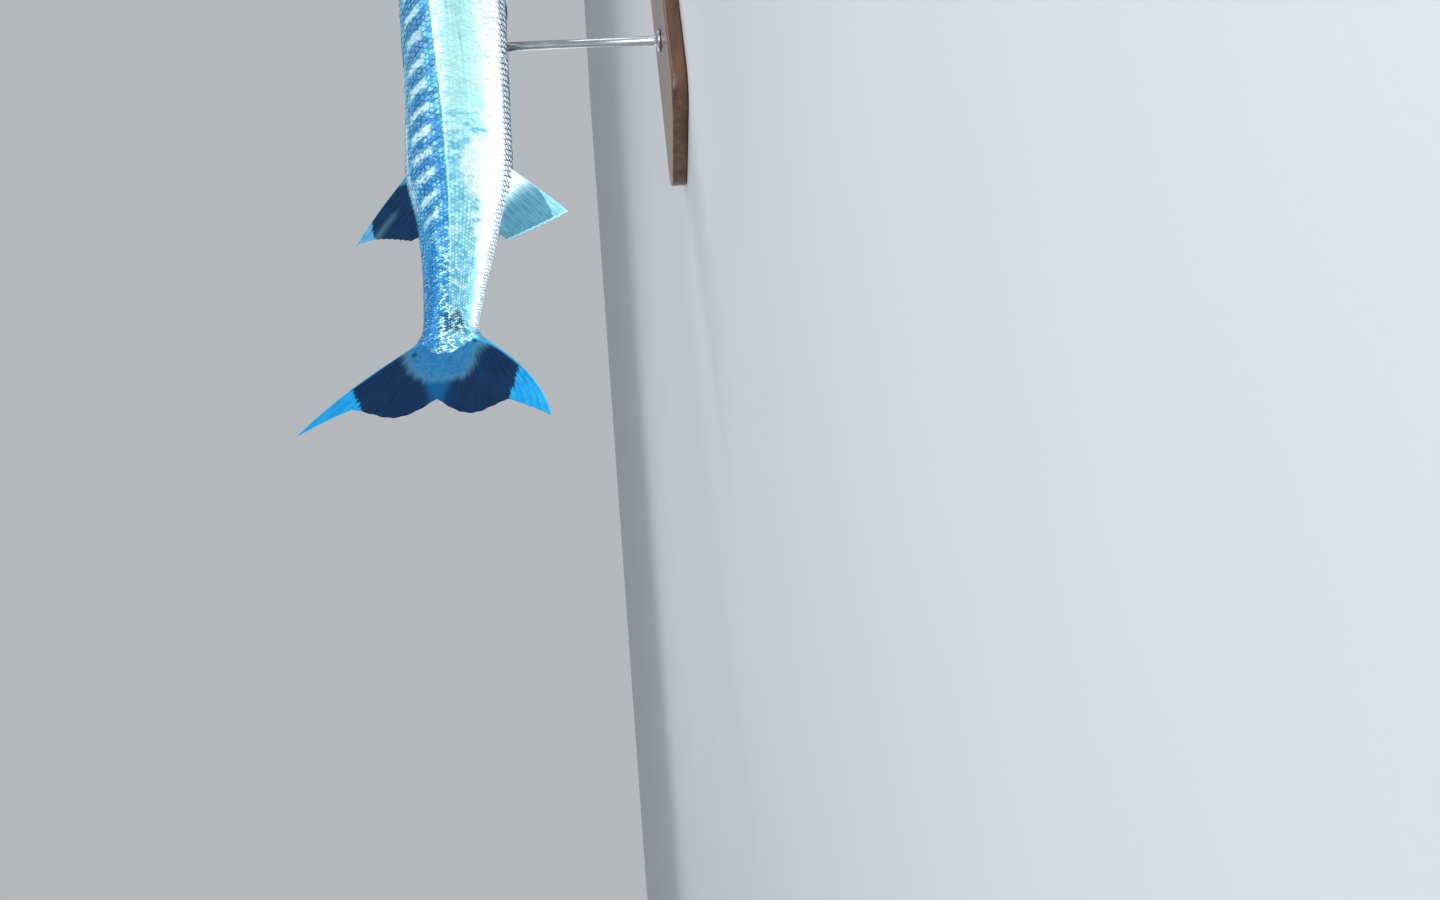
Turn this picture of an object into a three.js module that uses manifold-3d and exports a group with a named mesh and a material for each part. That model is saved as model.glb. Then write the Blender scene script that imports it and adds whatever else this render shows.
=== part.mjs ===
// Great barracuda, life size, swimming level on a museum stand.
// Millimetres, +Z up, head towards +X, right flank towards -Y, base resting on Z = 0.
import * as THREE from 'three';
import { mergeVertices } from 'three/addons/utils/BufferGeometryUtils.js';
import Module from 'manifold-3d';

const wasm = await Module();
wasm.setup();

// Driving dimensions of the fish. Places along the body are fractions of the standard length,
// counted from the tip of the upper jaw, and heights are fractions of it from the body axis.
const STANDARD_LENGTH = 1030;
const CHIN_REACH = 0.013;
const TAIL_REACH = 1.12;
const AXIS_HEIGHT = 290;
const GAP = 0.3;
const SIDE_REACH = 200;

// Body stations in hundredths of the standard length:
// place, top, belly, half width, height of the widest line.
const STATIONS = [
  [0, 0.5, -3.2, 0.9, -0.8],
  [2.5, 1.4, -4.1, 1.45, -0.9],
  [6, 2.4, -4.9, 2.05, -1.0],
  [10, 3.45, -5.5, 2.75, -1.0],
  [14.7, 4.6, -5.9, 3.65, -0.8],
  [20, 5.55, -6.2, 4.45, -0.6],
  [26, 6.3, -6.45, 5.05, -0.4],
  [33, 6.85, -6.5, 5.45, 0],
  [41, 7.1, -6.5, 5.6, 0.1],
  [50, 6.5, -6.6, 5.5, 0.1],
  [60, 6.0, -6.7, 5.15, -0.1],
  [70, 5.85, -6.8, 4.5, -0.3],
  [74, 5.5, -6.6, 4.15, -0.3],
  [80, 4.3, -5.5, 3.35, -0.3],
  [87, 3.5, -4.3, 2.55, -0.2],
  [93, 3.15, -3.4, 2.0, 0],
  [97.4, 3.07, -2.95, 1.65, 0.05],
  [98.9, 3.4, -3.5, 1.45, 0],
  [100, 4.05, -4.45, 1.3, -0.1],
];
const NOSE_ROUND = 0.014;
const SNOUT_TIP_HEIGHT = 0.0005;
const CHIN_TIP_HEIGHT = -0.0265;
const CHIN_BLEND = 0.06;
const SKULL_SQUARENESS = 3;
const THROAT_SQUARENESS = 2;
const BODY_SQUARENESS = 2.15;
const SKULL_END = 0.24;

// Fineness of the loft: rings on the nose, along the head and along the rest, and points per ring
const NOSE_RINGS = 5;
const HEAD_RINGS = 24;
const BODY_RINGS = 29;
const HEAD_RINGS_END = 0.31;
const RING_SIDES = 36;
const HIDDEN_RING_SIDES = 24;

// Sideways swing of the body: the tail beats to the right, the head turns a little with it.
const TAIL_SWING = 50;
const TAIL_SWING_START = 0.55;
const HEAD_SWING = 7;
const HEAD_SWING_END = 0.3;

// Cuts between the lengths of the body
const HEAD_END = 0.285;
const TORSO_CUTS = [HEAD_END, 0.45, 0.62, 0.82, 1];

// Mouth, held a little open
const MOUTH_CORNER = [0.122, -0.0225];
const UPPER_LIP_FRONT = -0.001;
const LOWER_LIP_FRONT = -0.0245;
const JAW_REAR = [0.168, -0.046];
const JAW_THROAT = 0.158;
const JAW_ROOM_FRONT = -0.05;
const JAW_ROOM_BOTTOM = -0.12;
const LIP_BEND = 0.2;

// Plate of the upper jaw, standing a little over the cheek and rounded off behind the mouth
const MAXILLA_RAISE = 1.6;
const MAXILLA_EDGE = [
  [-0.02, -0.02], [-0.02, 0.0035], [0.012, 0.0035], [0.05, -0.0005], [0.09, -0.0065], [0.12, -0.0095],
  [0.134, -0.0125], [0.141, -0.02], [0.14, -0.028], [0.134, -0.032], [0.12, -0.034],
];

// Rows of teeth, along each side of a jaw. Their reach is a share of the opening of the mouth.
const UPPER_TEETH = [
  { from: 0.007, to: 0.017, count: 2, inset: 4.2, reach: 0.7, radius: 2.7 },
  { from: 0.032, to: 0.074, count: 4, inset: 7.5, reach: 0.76, radius: 2.6 },
  { from: 0.026, to: 0.098, count: 7, inset: 2.4, reach: 0.24, radius: 1.6 },
];
const LOWER_TEETH = [
  { from: 0.018, to: 0.1, count: 8, inset: 3.4, reach: 0.52, radius: 2.5 },
];
const FRONT_FANG = { place: -0.003, length: 17, radius: 3 };
const TOOTH_SIDES = 5;
const TOOTH_SUNK = 2;
const TOOTH_FLATNESS = 0.7;
const TOOTH_UNEVENNESS = 0.12;

// Eye and nostrils
const EYE_PLACE = [0.147, 0.0165];
const EYE_RADIUS = 21;
const EYE_DEPTH = 8;
const EYE_INSET = 3.2;
const EYE_SIDES = 22;
const RIM_OVERLAP = 0.6;
const RIM_RADIUS = 3;
const RIM_SUNK = 1.6;
const NOSTRILS = [
  { place: 0.108, height: 0.0235, radius: 1.6 },
  { place: 0.116, height: 0.0255, radius: 2.1 },
];

// Gill cover: a plate on the cheek, pointed behind, its edge drawn through these corners
const GILL_EDGE = [
  [0.213, -0.006], [0.217, 0.016], [0.231, 0.031], [0.256, 0.037], [0.282, 0.03],
  [0.298, 0.013], [0.305, -0.003], [0.298, -0.022], [0.281, -0.041], [0.256, -0.054],
  [0.229, -0.056], [0.215, -0.034],
];
const GILL_CENTRE = [0.255, -0.008];
const GILL_EDGE_STEPS = 30;
const GILL_THICKNESS = 6;
const GILL_RAISE = 1.8;

// Stand
const BASE_SIZE = [480, 200, 20];
const BASE_PLACE = 0.45;
const BASE_CORNER = 40;
const BASE_BEVEL = 3;
const ROD_RADIUS = 6;
const ROD_FOOT = { radius: 15, shoulder: 13, thick: 5 };
const ROD_SIDES = 24;
const ROD_PLACES = { stand_rod_front: 0.315, stand_rod_rear: 0.5 };

const SNOUT_X = ((TAIL_REACH - CHIN_REACH) / 2) * STANDARD_LENGTH;
const along = (s) => SNOUT_X - s * STANDARD_LENGTH;
const height = (z) => AXIS_HEIGHT + z * STANDARD_LENGTH;

const materials = {
  skin: new THREE.MeshStandardMaterial({ color: '#7fa9c4', roughness: 0.35, metalness: 0.25 }),
  fin_dark: new THREE.MeshStandardMaterial({ color: '#1c2c3d', roughness: 0.5, metalness: 0 }),
  fin_pale: new THREE.MeshStandardMaterial({ color: '#a9c3cf', roughness: 0.5, metalness: 0 }),
  eye: new THREE.MeshStandardMaterial({ color: '#20262b', roughness: 0.08, metalness: 0 }),
  stand_wood: new THREE.MeshStandardMaterial({ color: '#3b2a20', roughness: 0.4, metalness: 0 }),
  stand_steel: new THREE.MeshStandardMaterial({ color: '#b9bdc1', roughness: 0.3, metalness: 1 }),
};

// Smooth curve through one column of the stations, with central slopes
function station(place, column) {
  const s = Math.min(Math.max(place * 100, 0), 100);
  const last = STATIONS.length - 1;
  let i = 0;
  while (i < last - 1 && STATIONS[i + 1][0] < s) {
    i += 1;
  }
  const slope = (k) => {
    const before = STATIONS[Math.max(k - 1, 0)];
    const after = STATIONS[Math.min(k + 1, last)];
    return (after[column] - before[column]) / (after[0] - before[0]);
  };
  const [from, to] = [STATIONS[i], STATIONS[i + 1]];
  const span = to[0] - from[0];
  const t = (s - from[0]) / span;
  const value = (2 * t ** 3 - 3 * t ** 2 + 1) * from[column]
    + (t ** 3 - 2 * t ** 2 + t) * span * slope(i)
    + (3 * t ** 2 - 2 * t ** 3) * to[column]
    + (t ** 3 - t ** 2) * span * slope(i + 1);
  return value / 100;
}

const topAt = (s) => station(s, 1);
const bellyAt = (s) => station(s, 2);
const halfWidthAt = (s) => station(s, 3);
const widestAt = (s) => station(s, 4);

// Half width of the body at one place and height, in fractions of the standard length
function flankAt(s, z) {
  const isAbove = z > widestAt(s);
  const reach = isAbove ? topAt(s) - widestAt(s) : bellyAt(s) - widestAt(s);
  const n = squarenessAt(s, isAbove);
  const rise = Math.min(Math.abs((z - widestAt(s)) / reach), 1);
  return halfWidthAt(s) * (1 - rise ** n) ** (1 / n);
}

// How square the section is: the skull has a flat top over a rounder throat
function squarenessAt(s, isAbove) {
  const ahead = isAbove ? SKULL_SQUARENESS : THROAT_SQUARENESS;
  const t = Math.min(Math.max(s / SKULL_END, 0), 1);
  return ahead + (BODY_SQUARENESS - ahead) * t * t * (3 - 2 * t);
}

// Ring of the body at one place, as [y, z] in millimetres, grown outwards by a margin.
// Near the nose it shrinks towards the height of the tip.
function ring(s, tipHeight, sides, grow) {
  const round = Math.sqrt(1 - (1 - Math.min(s / NOSE_ROUND, 1)) ** 2);
  const centre = height(tipHeight + (widestAt(s) - tipHeight) * round);
  const points = [];
  for (let k = 0; k < sides; k += 1) {
    const angle = (2 * Math.PI * k) / sides;
    const [c, d] = [Math.cos(angle), Math.sin(angle)];
    const n = squarenessAt(s, d > 0);
    const reach = d > 0 ? topAt(s) - widestAt(s) : widestAt(s) - bellyAt(s);
    const wide = Math.max(halfWidthAt(s) * STANDARD_LENGTH * round + grow, 1);
    const tall = Math.max(reach * STANDARD_LENGTH * round + grow, 1);
    const y = wide * Math.sign(c) * Math.abs(c) ** (2 / n);
    const z = centre + tall * Math.sign(d) * Math.abs(d) ** (2 / n);
    points.push([y, z]);
  }
  return points;
}

// Places of the rings: round at the nose, close along the head, wider apart behind it
function ringPlaces() {
  const places = [];
  for (let k = 1; k <= NOSE_RINGS; k += 1) {
    places.push(NOSE_ROUND * (1 - Math.cos((k / NOSE_RINGS) * (Math.PI / 2))));
  }
  for (let k = 1; k <= HEAD_RINGS; k += 1) {
    places.push(NOSE_ROUND + (k / HEAD_RINGS) * (HEAD_RINGS_END - NOSE_ROUND));
  }
  for (let k = 1; k <= BODY_RINGS; k += 1) {
    places.push(HEAD_RINGS_END + (k / BODY_RINGS) * (1 - HEAD_RINGS_END));
  }
  return places;
}

// Whole body as one loft. A chin reach above zero pulls the nose forward for the lower jaw.
function bodyLoft(grow = 0, chinReach = 0, sides = RING_SIDES) {
  const places = ringPlaces();
  const positions = [];
  const index = [];
  const pull = (s) => (s < CHIN_BLEND ? s - chinReach * (1 - s / CHIN_BLEND) : s);
  const tipHeight = chinReach > 0 ? CHIN_TIP_HEIGHT : SNOUT_TIP_HEIGHT;
  positions.push(along(pull(0)) + grow, 0, height(tipHeight));
  for (const s of places) {
    for (const [y, z] of ring(s, tipHeight, sides, grow)) {
      positions.push(along(pull(s)) - (s === 1 ? grow : 0), y, z);
    }
  }
  positions.push(along(1) - grow, 0, height(widestAt(1)));
  const end = positions.length / 3 - 1;
  const at = (row, k) => 1 + row * sides + (k % sides);
  for (let k = 0; k < sides; k += 1) {
    index.push(0, at(0, k), at(0, k + 1));
    for (let row = 0; row < places.length - 1; row += 1) {
      index.push(at(row, k), at(row + 1, k), at(row + 1, k + 1));
      index.push(at(row, k), at(row + 1, k + 1), at(row, k + 1));
    }
    index.push(at(places.length - 1, k), end, at(places.length - 1, k + 1));
  }
  return solid(closedGeometry(positions, index));
}

function closedGeometry(positions, index) {
  const geometry = new THREE.BufferGeometry();
  geometry.setAttribute('position', new THREE.Float32BufferAttribute(positions, 3));
  geometry.setIndex(index);
  return geometry;
}

// Closed geometry as a solid that can be joined and cut
function solid(geometry) {
  const bare = geometry.clone();
  bare.deleteAttribute('normal');
  bare.deleteAttribute('uv');
  const welded = mergeVertices(bare, 1e-4);
  const triVerts = Uint32Array.from(welded.index.array);
  const vertProperties = Float32Array.from(welded.attributes.position.array);
  const make = () => new wasm.Manifold(new wasm.Mesh({ numProp: 3, vertProperties, triVerts }));
  const made = make();
  if (made.volume() >= 0) {
    return made;
  }
  for (let k = 0; k < triVerts.length; k += 3) {
    [triVerts[k], triVerts[k + 1]] = [triVerts[k + 1], triVerts[k]];
  }
  return make();
}

// Sideways swing of the body axis at one place along the body
function swing(s) {
  const rear = Math.max((s - TAIL_SWING_START) / (1 - TAIL_SWING_START), 0);
  const front = Math.max((HEAD_SWING_END - s) / HEAD_SWING_END, 0);
  return -TAIL_SWING * rear * rear - HEAD_SWING * front * front;
}

function swung(point) {
  const s = (SNOUT_X - point.x) / STANDARD_LENGTH;
  const step = 0.001;
  const slope = (swing(s + step) - swing(s - step)) / (2 * step * STANDARD_LENGTH);
  const turn = Math.atan(slope);
  return new THREE.Vector3(
    point.x + point.y * Math.sin(turn),
    swing(s) + point.y * Math.cos(turn),
    point.z,
  );
}

// Largest closed surface of a solid as a named mesh, swung with the body where it is of flesh
function asMesh(name, body, material, isFlesh = true) {
  const pieces = body.decompose().sort((a, b) => b.volume() - a.volume());
  const { numProp, vertProperties, triVerts } = pieces[0].getMesh();
  const positions = [];
  for (let k = 0; k < vertProperties.length; k += numProp) {
    const point = new THREE.Vector3(...vertProperties.slice(k, k + 3));
    positions.push(...(isFlesh ? swung(point) : point).toArray());
  }
  const mesh = new THREE.Mesh(closedGeometry(positions, Array.from(triVerts)), material);
  mesh.geometry.computeVertexNormals();
  mesh.name = name;
  return mesh;
}

// Outline in the plane of the flank, from [place, height] corners, extruded from one Y to another
function sidePrism(corners, fromY, toY) {
  const shape = new THREE.Shape(corners.map(([s, z]) => new THREE.Vector2(along(s), height(z))));
  const geometry = new THREE.ExtrudeGeometry(shape, { depth: toY - fromY, bevelEnabled: false });
  geometry.rotateX(Math.PI / 2);
  geometry.translate(0, toY, 0);
  return solid(geometry);
}

function boxBetween(low, high) {
  const size = high.map((value, k) => value - low[k]);
  const geometry = new THREE.BoxGeometry(...size);
  geometry.translate(...low.map((value, k) => value + size[k] / 2));
  return solid(geometry);
}

// Slice of space between two places along the body
function slice(fromPlace, toPlace) {
  const [low, high] = [along(toPlace) + GAP / 2, along(fromPlace) - GAP / 2];
  return boxBetween([low, -SIDE_REACH, 0], [high, SIDE_REACH, 2 * AXIS_HEIGHT]);
}

// Heights of the two lips: nearly straight, bent down a little towards the corner
function lipHeight(s, front) {
  const t = Math.min(Math.max(s / MOUTH_CORNER[0], 0), 1);
  return front + (MOUTH_CORNER[1] - front) * ((1 - LIP_BEND) * t + LIP_BEND * t * t);
}

function lipLine(front, steps = 6) {
  const line = [];
  for (let k = 0; k <= steps; k += 1) {
    const s = MOUTH_CORNER[0] * (1 - k / steps);
    line.push([s, lipHeight(s, front)]);
  }
  return line;
}

// Everything ahead of the throat and below one lip, which is the room of the lower jaw
function jawRoom(front, clearance) {
  const c = clearance / STANDARD_LENGTH;
  const corners = [
    ...lipLine(front),
    [JAW_ROOM_FRONT, front],
    [JAW_ROOM_FRONT, JAW_ROOM_BOTTOM],
    [JAW_THROAT + c, JAW_ROOM_BOTTOM],
    [JAW_REAR[0] + c, JAW_REAR[1]],
  ];
  return sidePrism(corners, -SIDE_REACH, SIDE_REACH);
}

// Room of a gill cover, from its inner face outwards
function gillRoom(side, clearance) {
  const curve = new THREE.SplineCurve(
    [...GILL_EDGE, GILL_EDGE[0]].map(([s, z]) => new THREE.Vector2(s, z)),
  );
  const c = clearance / STANDARD_LENGTH;
  const corners = curve.getSpacedPoints(GILL_EDGE_STEPS).slice(0, GILL_EDGE_STEPS).map((point) => [
    point.x + Math.sign(point.x - GILL_CENTRE[0]) * c,
    point.y + Math.sign(point.y - GILL_CENTRE[1]) * c,
  ]);
  const outside = side > 0
    ? sidePrism(corners, GAP, SIDE_REACH)
    : sidePrism(corners, -SIDE_REACH, -GAP);
  return outside.subtract(bodyLoft(-GILL_THICKNESS - clearance, 0, HIDDEN_RING_SIDES));
}

// Outward direction of the flank at a place and height
function flankNormal(s, z, side) {
  const d = 0.002;
  const backwards = (flankAt(s + d, z) - flankAt(s - d, z)) / (2 * d);
  const upwards = (flankAt(s, z + d) - flankAt(s, z - d)) / (2 * d);
  return new THREE.Vector3(backwards, side, -upwards).normalize();
}

// Sets a piece made round the Y axis on the flank at the eye, sunk in by a depth
function atEye(geometry, side, sunk) {
  const normal = flankNormal(...EYE_PLACE, side);
  const straight = new THREE.Vector3(0, side, 0);
  geometry.applyQuaternion(new THREE.Quaternion().setFromUnitVectors(straight, normal));
  const y = side * flankAt(...EYE_PLACE) * STANDARD_LENGTH;
  const surface = new THREE.Vector3(along(EYE_PLACE[0]), y, height(EYE_PLACE[1]));
  geometry.translate(...surface.addScaledVector(normal, -sunk).toArray());
  return solid(geometry);
}

// Eye as a flattened ball, and the rim of the orbit round it
function eyeBall(side, grow) {
  const geometry = new THREE.SphereGeometry(1, EYE_SIDES, EYE_SIDES / 2 + 1);
  geometry.scale(EYE_RADIUS + grow, EYE_DEPTH + grow, EYE_RADIUS + grow);
  return atEye(geometry, side, EYE_INSET);
}

function eyeRim(side) {
  const geometry = new THREE.TorusGeometry(EYE_RADIUS + RIM_OVERLAP, RIM_RADIUS, 6, EYE_SIDES);
  geometry.rotateX(Math.PI / 2);
  return atEye(geometry, side, RIM_SUNK);
}

// One tooth: a flattened cone, its root at a point and its tip along a direction
function tooth(root, direction, length, radius) {
  const geometry = new THREE.ConeGeometry(radius, length + TOOTH_SUNK, TOOTH_SIDES);
  geometry.scale(1, 1, TOOTH_FLATNESS);
  geometry.translate(0, (length - TOOTH_SUNK) / 2, 0);
  geometry.rotateX(Math.PI / 2);
  if (direction < 0) {
    geometry.rotateX(Math.PI);
  }
  geometry.translate(...root);
  return solid(geometry);
}

// Teeth along one side of a jaw, sized to the opening that the lips leave there
function toothRow(side, jaw, row) {
  const front = jaw > 0 ? LOWER_LIP_FRONT : UPPER_LIP_FRONT;
  const teeth = [];
  for (let k = 0; k < row.count; k += 1) {
    const s = row.from + ((row.to - row.from) * k) / (row.count - 1);
    const open = (lipHeight(s, UPPER_LIP_FRONT) - lipHeight(s, LOWER_LIP_FRONT)) * STANDARD_LENGTH;
    const lip = lipHeight(s, front);
    const flank = flankAt(Math.max(s, NOSE_ROUND), lip) * STANDARD_LENGTH;
    const y = side * Math.max(flank - row.inset, 2.2);
    const length = open * row.reach * (1 - TOOTH_UNEVENNESS * (k % 2));
    teeth.push(tooth([along(s), y, height(lip)], jaw, length, row.radius));
  }
  return teeth;
}

function makeHead(whole) {
  const maxilla = sidePrism(MAXILLA_EDGE, -SIDE_REACH, SIDE_REACH);
  let head = whole.intersect(slice(JAW_ROOM_FRONT, HEAD_END));
  head = head.add(bodyLoft(MAXILLA_RAISE).intersect(maxilla));
  head = head.subtract(jawRoom(UPPER_LIP_FRONT, GAP));
  for (const side of [-1, 1]) {
    head = head.add(eyeRim(side));
    head = head.subtract(eyeBall(side, GAP));
    head = head.subtract(gillRoom(side, GAP));
    for (const nostril of NOSTRILS) {
      const pit = new THREE.SphereGeometry(nostril.radius, 8, 5);
      const flank = flankAt(nostril.place, nostril.height) * STANDARD_LENGTH;
      pit.translate(along(nostril.place), side * flank, height(nostril.height));
      head = head.subtract(solid(pit));
    }
    for (const row of UPPER_TEETH) {
      for (const one of toothRow(side, -1, row)) {
        head = head.add(one);
      }
    }
  }
  return asMesh('head', head, materials.skin);
}

function makeLowerJaw() {
  let jaw = bodyLoft(0, CHIN_REACH).intersect(jawRoom(LOWER_LIP_FRONT, 0));
  for (const side of [-1, 1]) {
    for (const row of LOWER_TEETH) {
      for (const one of toothRow(side, 1, row)) {
        jaw = jaw.add(one);
      }
    }
  }
  const fangRoot = [along(FRONT_FANG.place), 0, height(LOWER_LIP_FRONT)];
  jaw = jaw.add(tooth(fangRoot, 1, FRONT_FANG.length, FRONT_FANG.radius));
  return asMesh('lower_jaw', jaw, materials.skin);
}

function makeGillCover(side, name) {
  const cover = bodyLoft(GILL_RAISE).intersect(gillRoom(side, 0));
  return asMesh(name, cover, materials.skin);
}

// A fin is a sheet of rays. Columns run from the front ray to the last one, a ray on each even
// column and the membrane between on the odd ones; rows run from the root to the margin.
function rayFin({ rays, rows, place, thickness, normal }) {
  const columns = rays * 2 - 2;
  const positions = [];
  const index = [];
  for (const face of [1, -1]) {
    for (let row = 0; row <= rows; row += 1) {
      for (let column = 0; column <= columns; column += 1) {
        const [v, u] = [column / columns, row / rows];
        const point = place(v, u);
        point.addScaledVector(normal, face * thickness(v, u, column % 2 === 0));
        positions.push(...point.toArray());
      }
    }
  }
  const width = columns + 1;
  const back = width * (rows + 1);
  const at = (row, column) => row * width + column;
  for (let row = 0; row < rows; row += 1) {
    for (let column = 0; column < columns; column += 1) {
      const [a, b] = [at(row, column), at(row, column + 1)];
      const [c, d] = [at(row + 1, column + 1), at(row + 1, column)];
      index.push(a, b, c, a, c, d);
      index.push(back + a, back + c, back + b, back + a, back + d, back + c);
    }
  }
  const wall = (a, b) => index.push(a, back + a, back + b, a, back + b, b);
  for (let column = 0; column < columns; column += 1) {
    wall(at(0, column), at(0, column + 1));
    wall(at(rows, column + 1), at(rows, column));
  }
  for (let row = 0; row < rows; row += 1) {
    wall(at(row + 1, 0), at(row, 0));
    wall(at(row, columns), at(row + 1, columns));
  }
  return solid(closedGeometry(positions, index));
}

// Half thickness of a fin: a scaly sheath at the root, then rays and membrane that thin out
const EDGE_THICKNESS = 0.27;

function finThickness({ root, ray, membrane, sheath }) {
  return (v, u, isRay) => {
    const thin = (isRay ? ray : membrane) * (1 - u) + EDGE_THICKNESS * u;
    const fade = Math.max(1 - u / sheath, 0) ** 1.5;
    return thin + (root - thin) * fade;
  };
}

const ACROSS = new THREE.Vector3(0, 1, 0);
const ROOT_SUNK = 0.004;

// Fins in the middle plane. Each root runs back from a place on the back or belly; each margin
// runs from the tip of the front ray, at v = 0, to the tip of the last one, at v = 1.
const SECOND_DORSAL = {
  rays: 10,
  rows: 6,
  bow: 0.0035,
  thickness: { root: 3.2, ray: 1.2, membrane: 0.5, sheath: 0.4 },
  root: (v) => onBack(0.714 + 0.103 * v, -ROOT_SUNK),
  margin: (v) => [
    0.8185 + 0.0105 * (1 - v) ** 6 + 0.0075 * v * v,
    0.1106 - 0.0616 * v ** 0.85,
  ],
};
const ANAL = {
  rays: 10,
  rows: 6,
  bow: -0.003,
  thickness: { root: 4.2, ray: 1.2, membrane: 0.5, sheath: 0.5 },
  root: (v) => {
    const s = 0.714 + 0.102 * v;
    return [s, bellyAt(s) + ROOT_SUNK];
  },
  margin: (v) => [0.79 + 0.0424 * v ** 0.75, -0.1315 + 0.0707 * v ** 0.85],
};

// The first dorsal fin is folded down: five spines swept flat behind one another
const FIRST_DORSAL = {
  rays: 5,
  rows: 5,
  bow: 0.0008,
  thickness: { root: 2.2, ray: 1.5, membrane: 0.7, sheath: 0.3 },
  root: (v) => onBack(0.42 + 0.07 * v, -ROOT_SUNK / 2),
  margin: (v) => onBack(0.498 + 0.031 * v, 0.002 - 0.0004 * v),
};

function onBack(s, lift) {
  return [s, topAt(s) + lift];
}

function medianFin(name, spec, material, cutBody) {
  const place = (v, u) => {
    const [s0, z0] = spec.root(v);
    const [s1, z1] = spec.margin(v);
    const bend = spec.bow * (1 - v) * 4 * u * (1 - u);
    return new THREE.Vector3(along(s0 + (s1 - s0) * u), 0, height(z0 + (z1 - z0) * u + bend));
  };
  const thickness = finThickness(spec.thickness);
  const fin = rayFin({ rays: spec.rays, rows: spec.rows, place, thickness, normal: ACROSS });
  return asMesh(name, fin.subtract(cutBody), material);
}

// Rear margin of the tail fin: a full round swell on each side of the fork, then the long lobes
const FORK = [1.0773, 0.0123];
const UPPER_LOBE = { reach: 0.1368, rise: 0.0425, swell: 0.0243, bow: 0.0085 };
const LOWER_LOBE = { reach: 0.1165, rise: 0.035, swell: 0.0242, bow: 0.0115 };
const SWELL_END = 0.62;
const RISE_START = 0.45;
const RISE_POWER = 1.4;
const CAUDAL = {
  rays: 21,
  rows: 8,
  thickness: { root: 0, ray: 1.7, membrane: 0.6, sheath: 0.01 },
  fleshEnd: 0.62,
};

function caudalMargin(t) {
  const lobe = t > 0 ? UPPER_LOBE : LOWER_LOBE;
  const q = Math.abs(t);
  const swell = q < SWELL_END ? lobe.swell * Math.sin((Math.PI * q) / SWELL_END) : 0;
  const rise = lobe.rise * Math.max((q - RISE_START) / (1 - RISE_START), 0) ** RISE_POWER;
  return [FORK[0] + swell + rise, FORK[1] + t * lobe.reach];
}

function makeCaudal() {
  const rootPlace = 1 + GAP / STANDARD_LENGTH;
  const [high, low] = [topAt(1), bellyAt(1)];
  const rootZ = (t) => (high + low) / 2 + (t * (high - low)) / 2;
  const place = (v, u) => {
    const t = 1 - 2 * v;
    const [s1, z1] = caudalMargin(t);
    const [s0, z0] = [rootPlace, rootZ(t)];
    const bow = (t > 0 ? UPPER_LOBE.bow : LOWER_LOBE.bow) * t * 4 * u * (1 - u);
    return new THREE.Vector3(along(s0 + (s1 - s0) * u), 0, height(z0 + (z1 - z0) * u + bow));
  };
  const blade = finThickness(CAUDAL.thickness);
  const thickness = (v, u, isRay) => {
    const t = 1 - 2 * v;
    const flesh = halfWidthAt(1) * STANDARD_LENGTH * Math.sqrt(Math.max(1 - t * t, 0));
    const fade = Math.max(1 - u / CAUDAL.fleshEnd, 0) ** 2;
    return Math.max(blade(v, u, isRay), flesh * fade);
  };
  const fin = rayFin({ rays: CAUDAL.rays, rows: CAUDAL.rows, place, thickness, normal: ACROSS });
  return asMesh('caudal_fin', fin, materials.fin_dark);
}

// Paired fin: rays fan out in a blade that leans away from the body. The lean and the way
// across the rays are [outward, upward] directions.
function pairedFin(name, side, spec, cutBody) {
  const [leanOut, leanUp] = spec.lean;
  const back = new THREE.Vector3(
    -Math.cos(spec.splay),
    side * leanOut * Math.sin(spec.splay),
    leanUp * Math.sin(spec.splay),
  ).normalize();
  const down = new THREE.Vector3(0, side * spec.across[0], spec.across[1]).normalize();
  const normal = new THREE.Vector3().crossVectors(back, down).normalize();
  const place = (v, u) => {
    const root = spec.root(v, side);
    const length = spec.length * (1 - spec.shorten * v ** 1.3) * STANDARD_LENGTH;
    const angle = spec.firstAngle + (spec.lastAngle - spec.firstAngle) * v;
    return root
      .addScaledVector(back, Math.cos(angle) * length * u)
      .addScaledVector(down, Math.sin(angle) * length * u);
  };
  const thickness = finThickness(spec.thickness);
  const fin = rayFin({ rays: spec.rays, rows: spec.rows, place, thickness, normal });
  return asMesh(name, fin.subtract(cutBody), materials.fin_pale);
}

const PECTORAL = {
  rays: 12,
  rows: 5,
  length: 0.112,
  shorten: 0.58,
  firstAngle: 0.04,
  lastAngle: 0.5,
  splay: 0.36,
  lean: [0.97, -0.25],
  across: [0.25, -0.97],
  thickness: { root: 2.4, ray: 1, membrane: 0.5, sheath: 0.3 },
  root: (v, side) => {
    const [s, z] = [0.314 + 0.004 * v, -0.011 - 0.02 * v];
    return new THREE.Vector3(along(s), side * (flankAt(s, z) * STANDARD_LENGTH - 3), height(z));
  },
};
const PELVIC = {
  rays: 6,
  rows: 5,
  length: 0.07,
  shorten: 0.45,
  firstAngle: 0.17,
  lastAngle: -0.06,
  splay: 0.07,
  lean: [0.3, -0.95],
  across: [0.94, 0.34],
  thickness: { root: 2.2, ray: 1, membrane: 0.5, sheath: 0.3 },
  root: (v, side) => {
    const s = 0.358 + 0.006 * v;
    const y = 0.026 - 0.013 * v;
    const n = squarenessAt(s, false);
    const drop = (1 - (y / halfWidthAt(s)) ** n) ** (1 / n);
    const z = widestAt(s) + (bellyAt(s) - widestAt(s)) * drop + 0.002;
    return new THREE.Vector3(along(s), side * y * STANDARD_LENGTH, height(z));
  },
};

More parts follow.
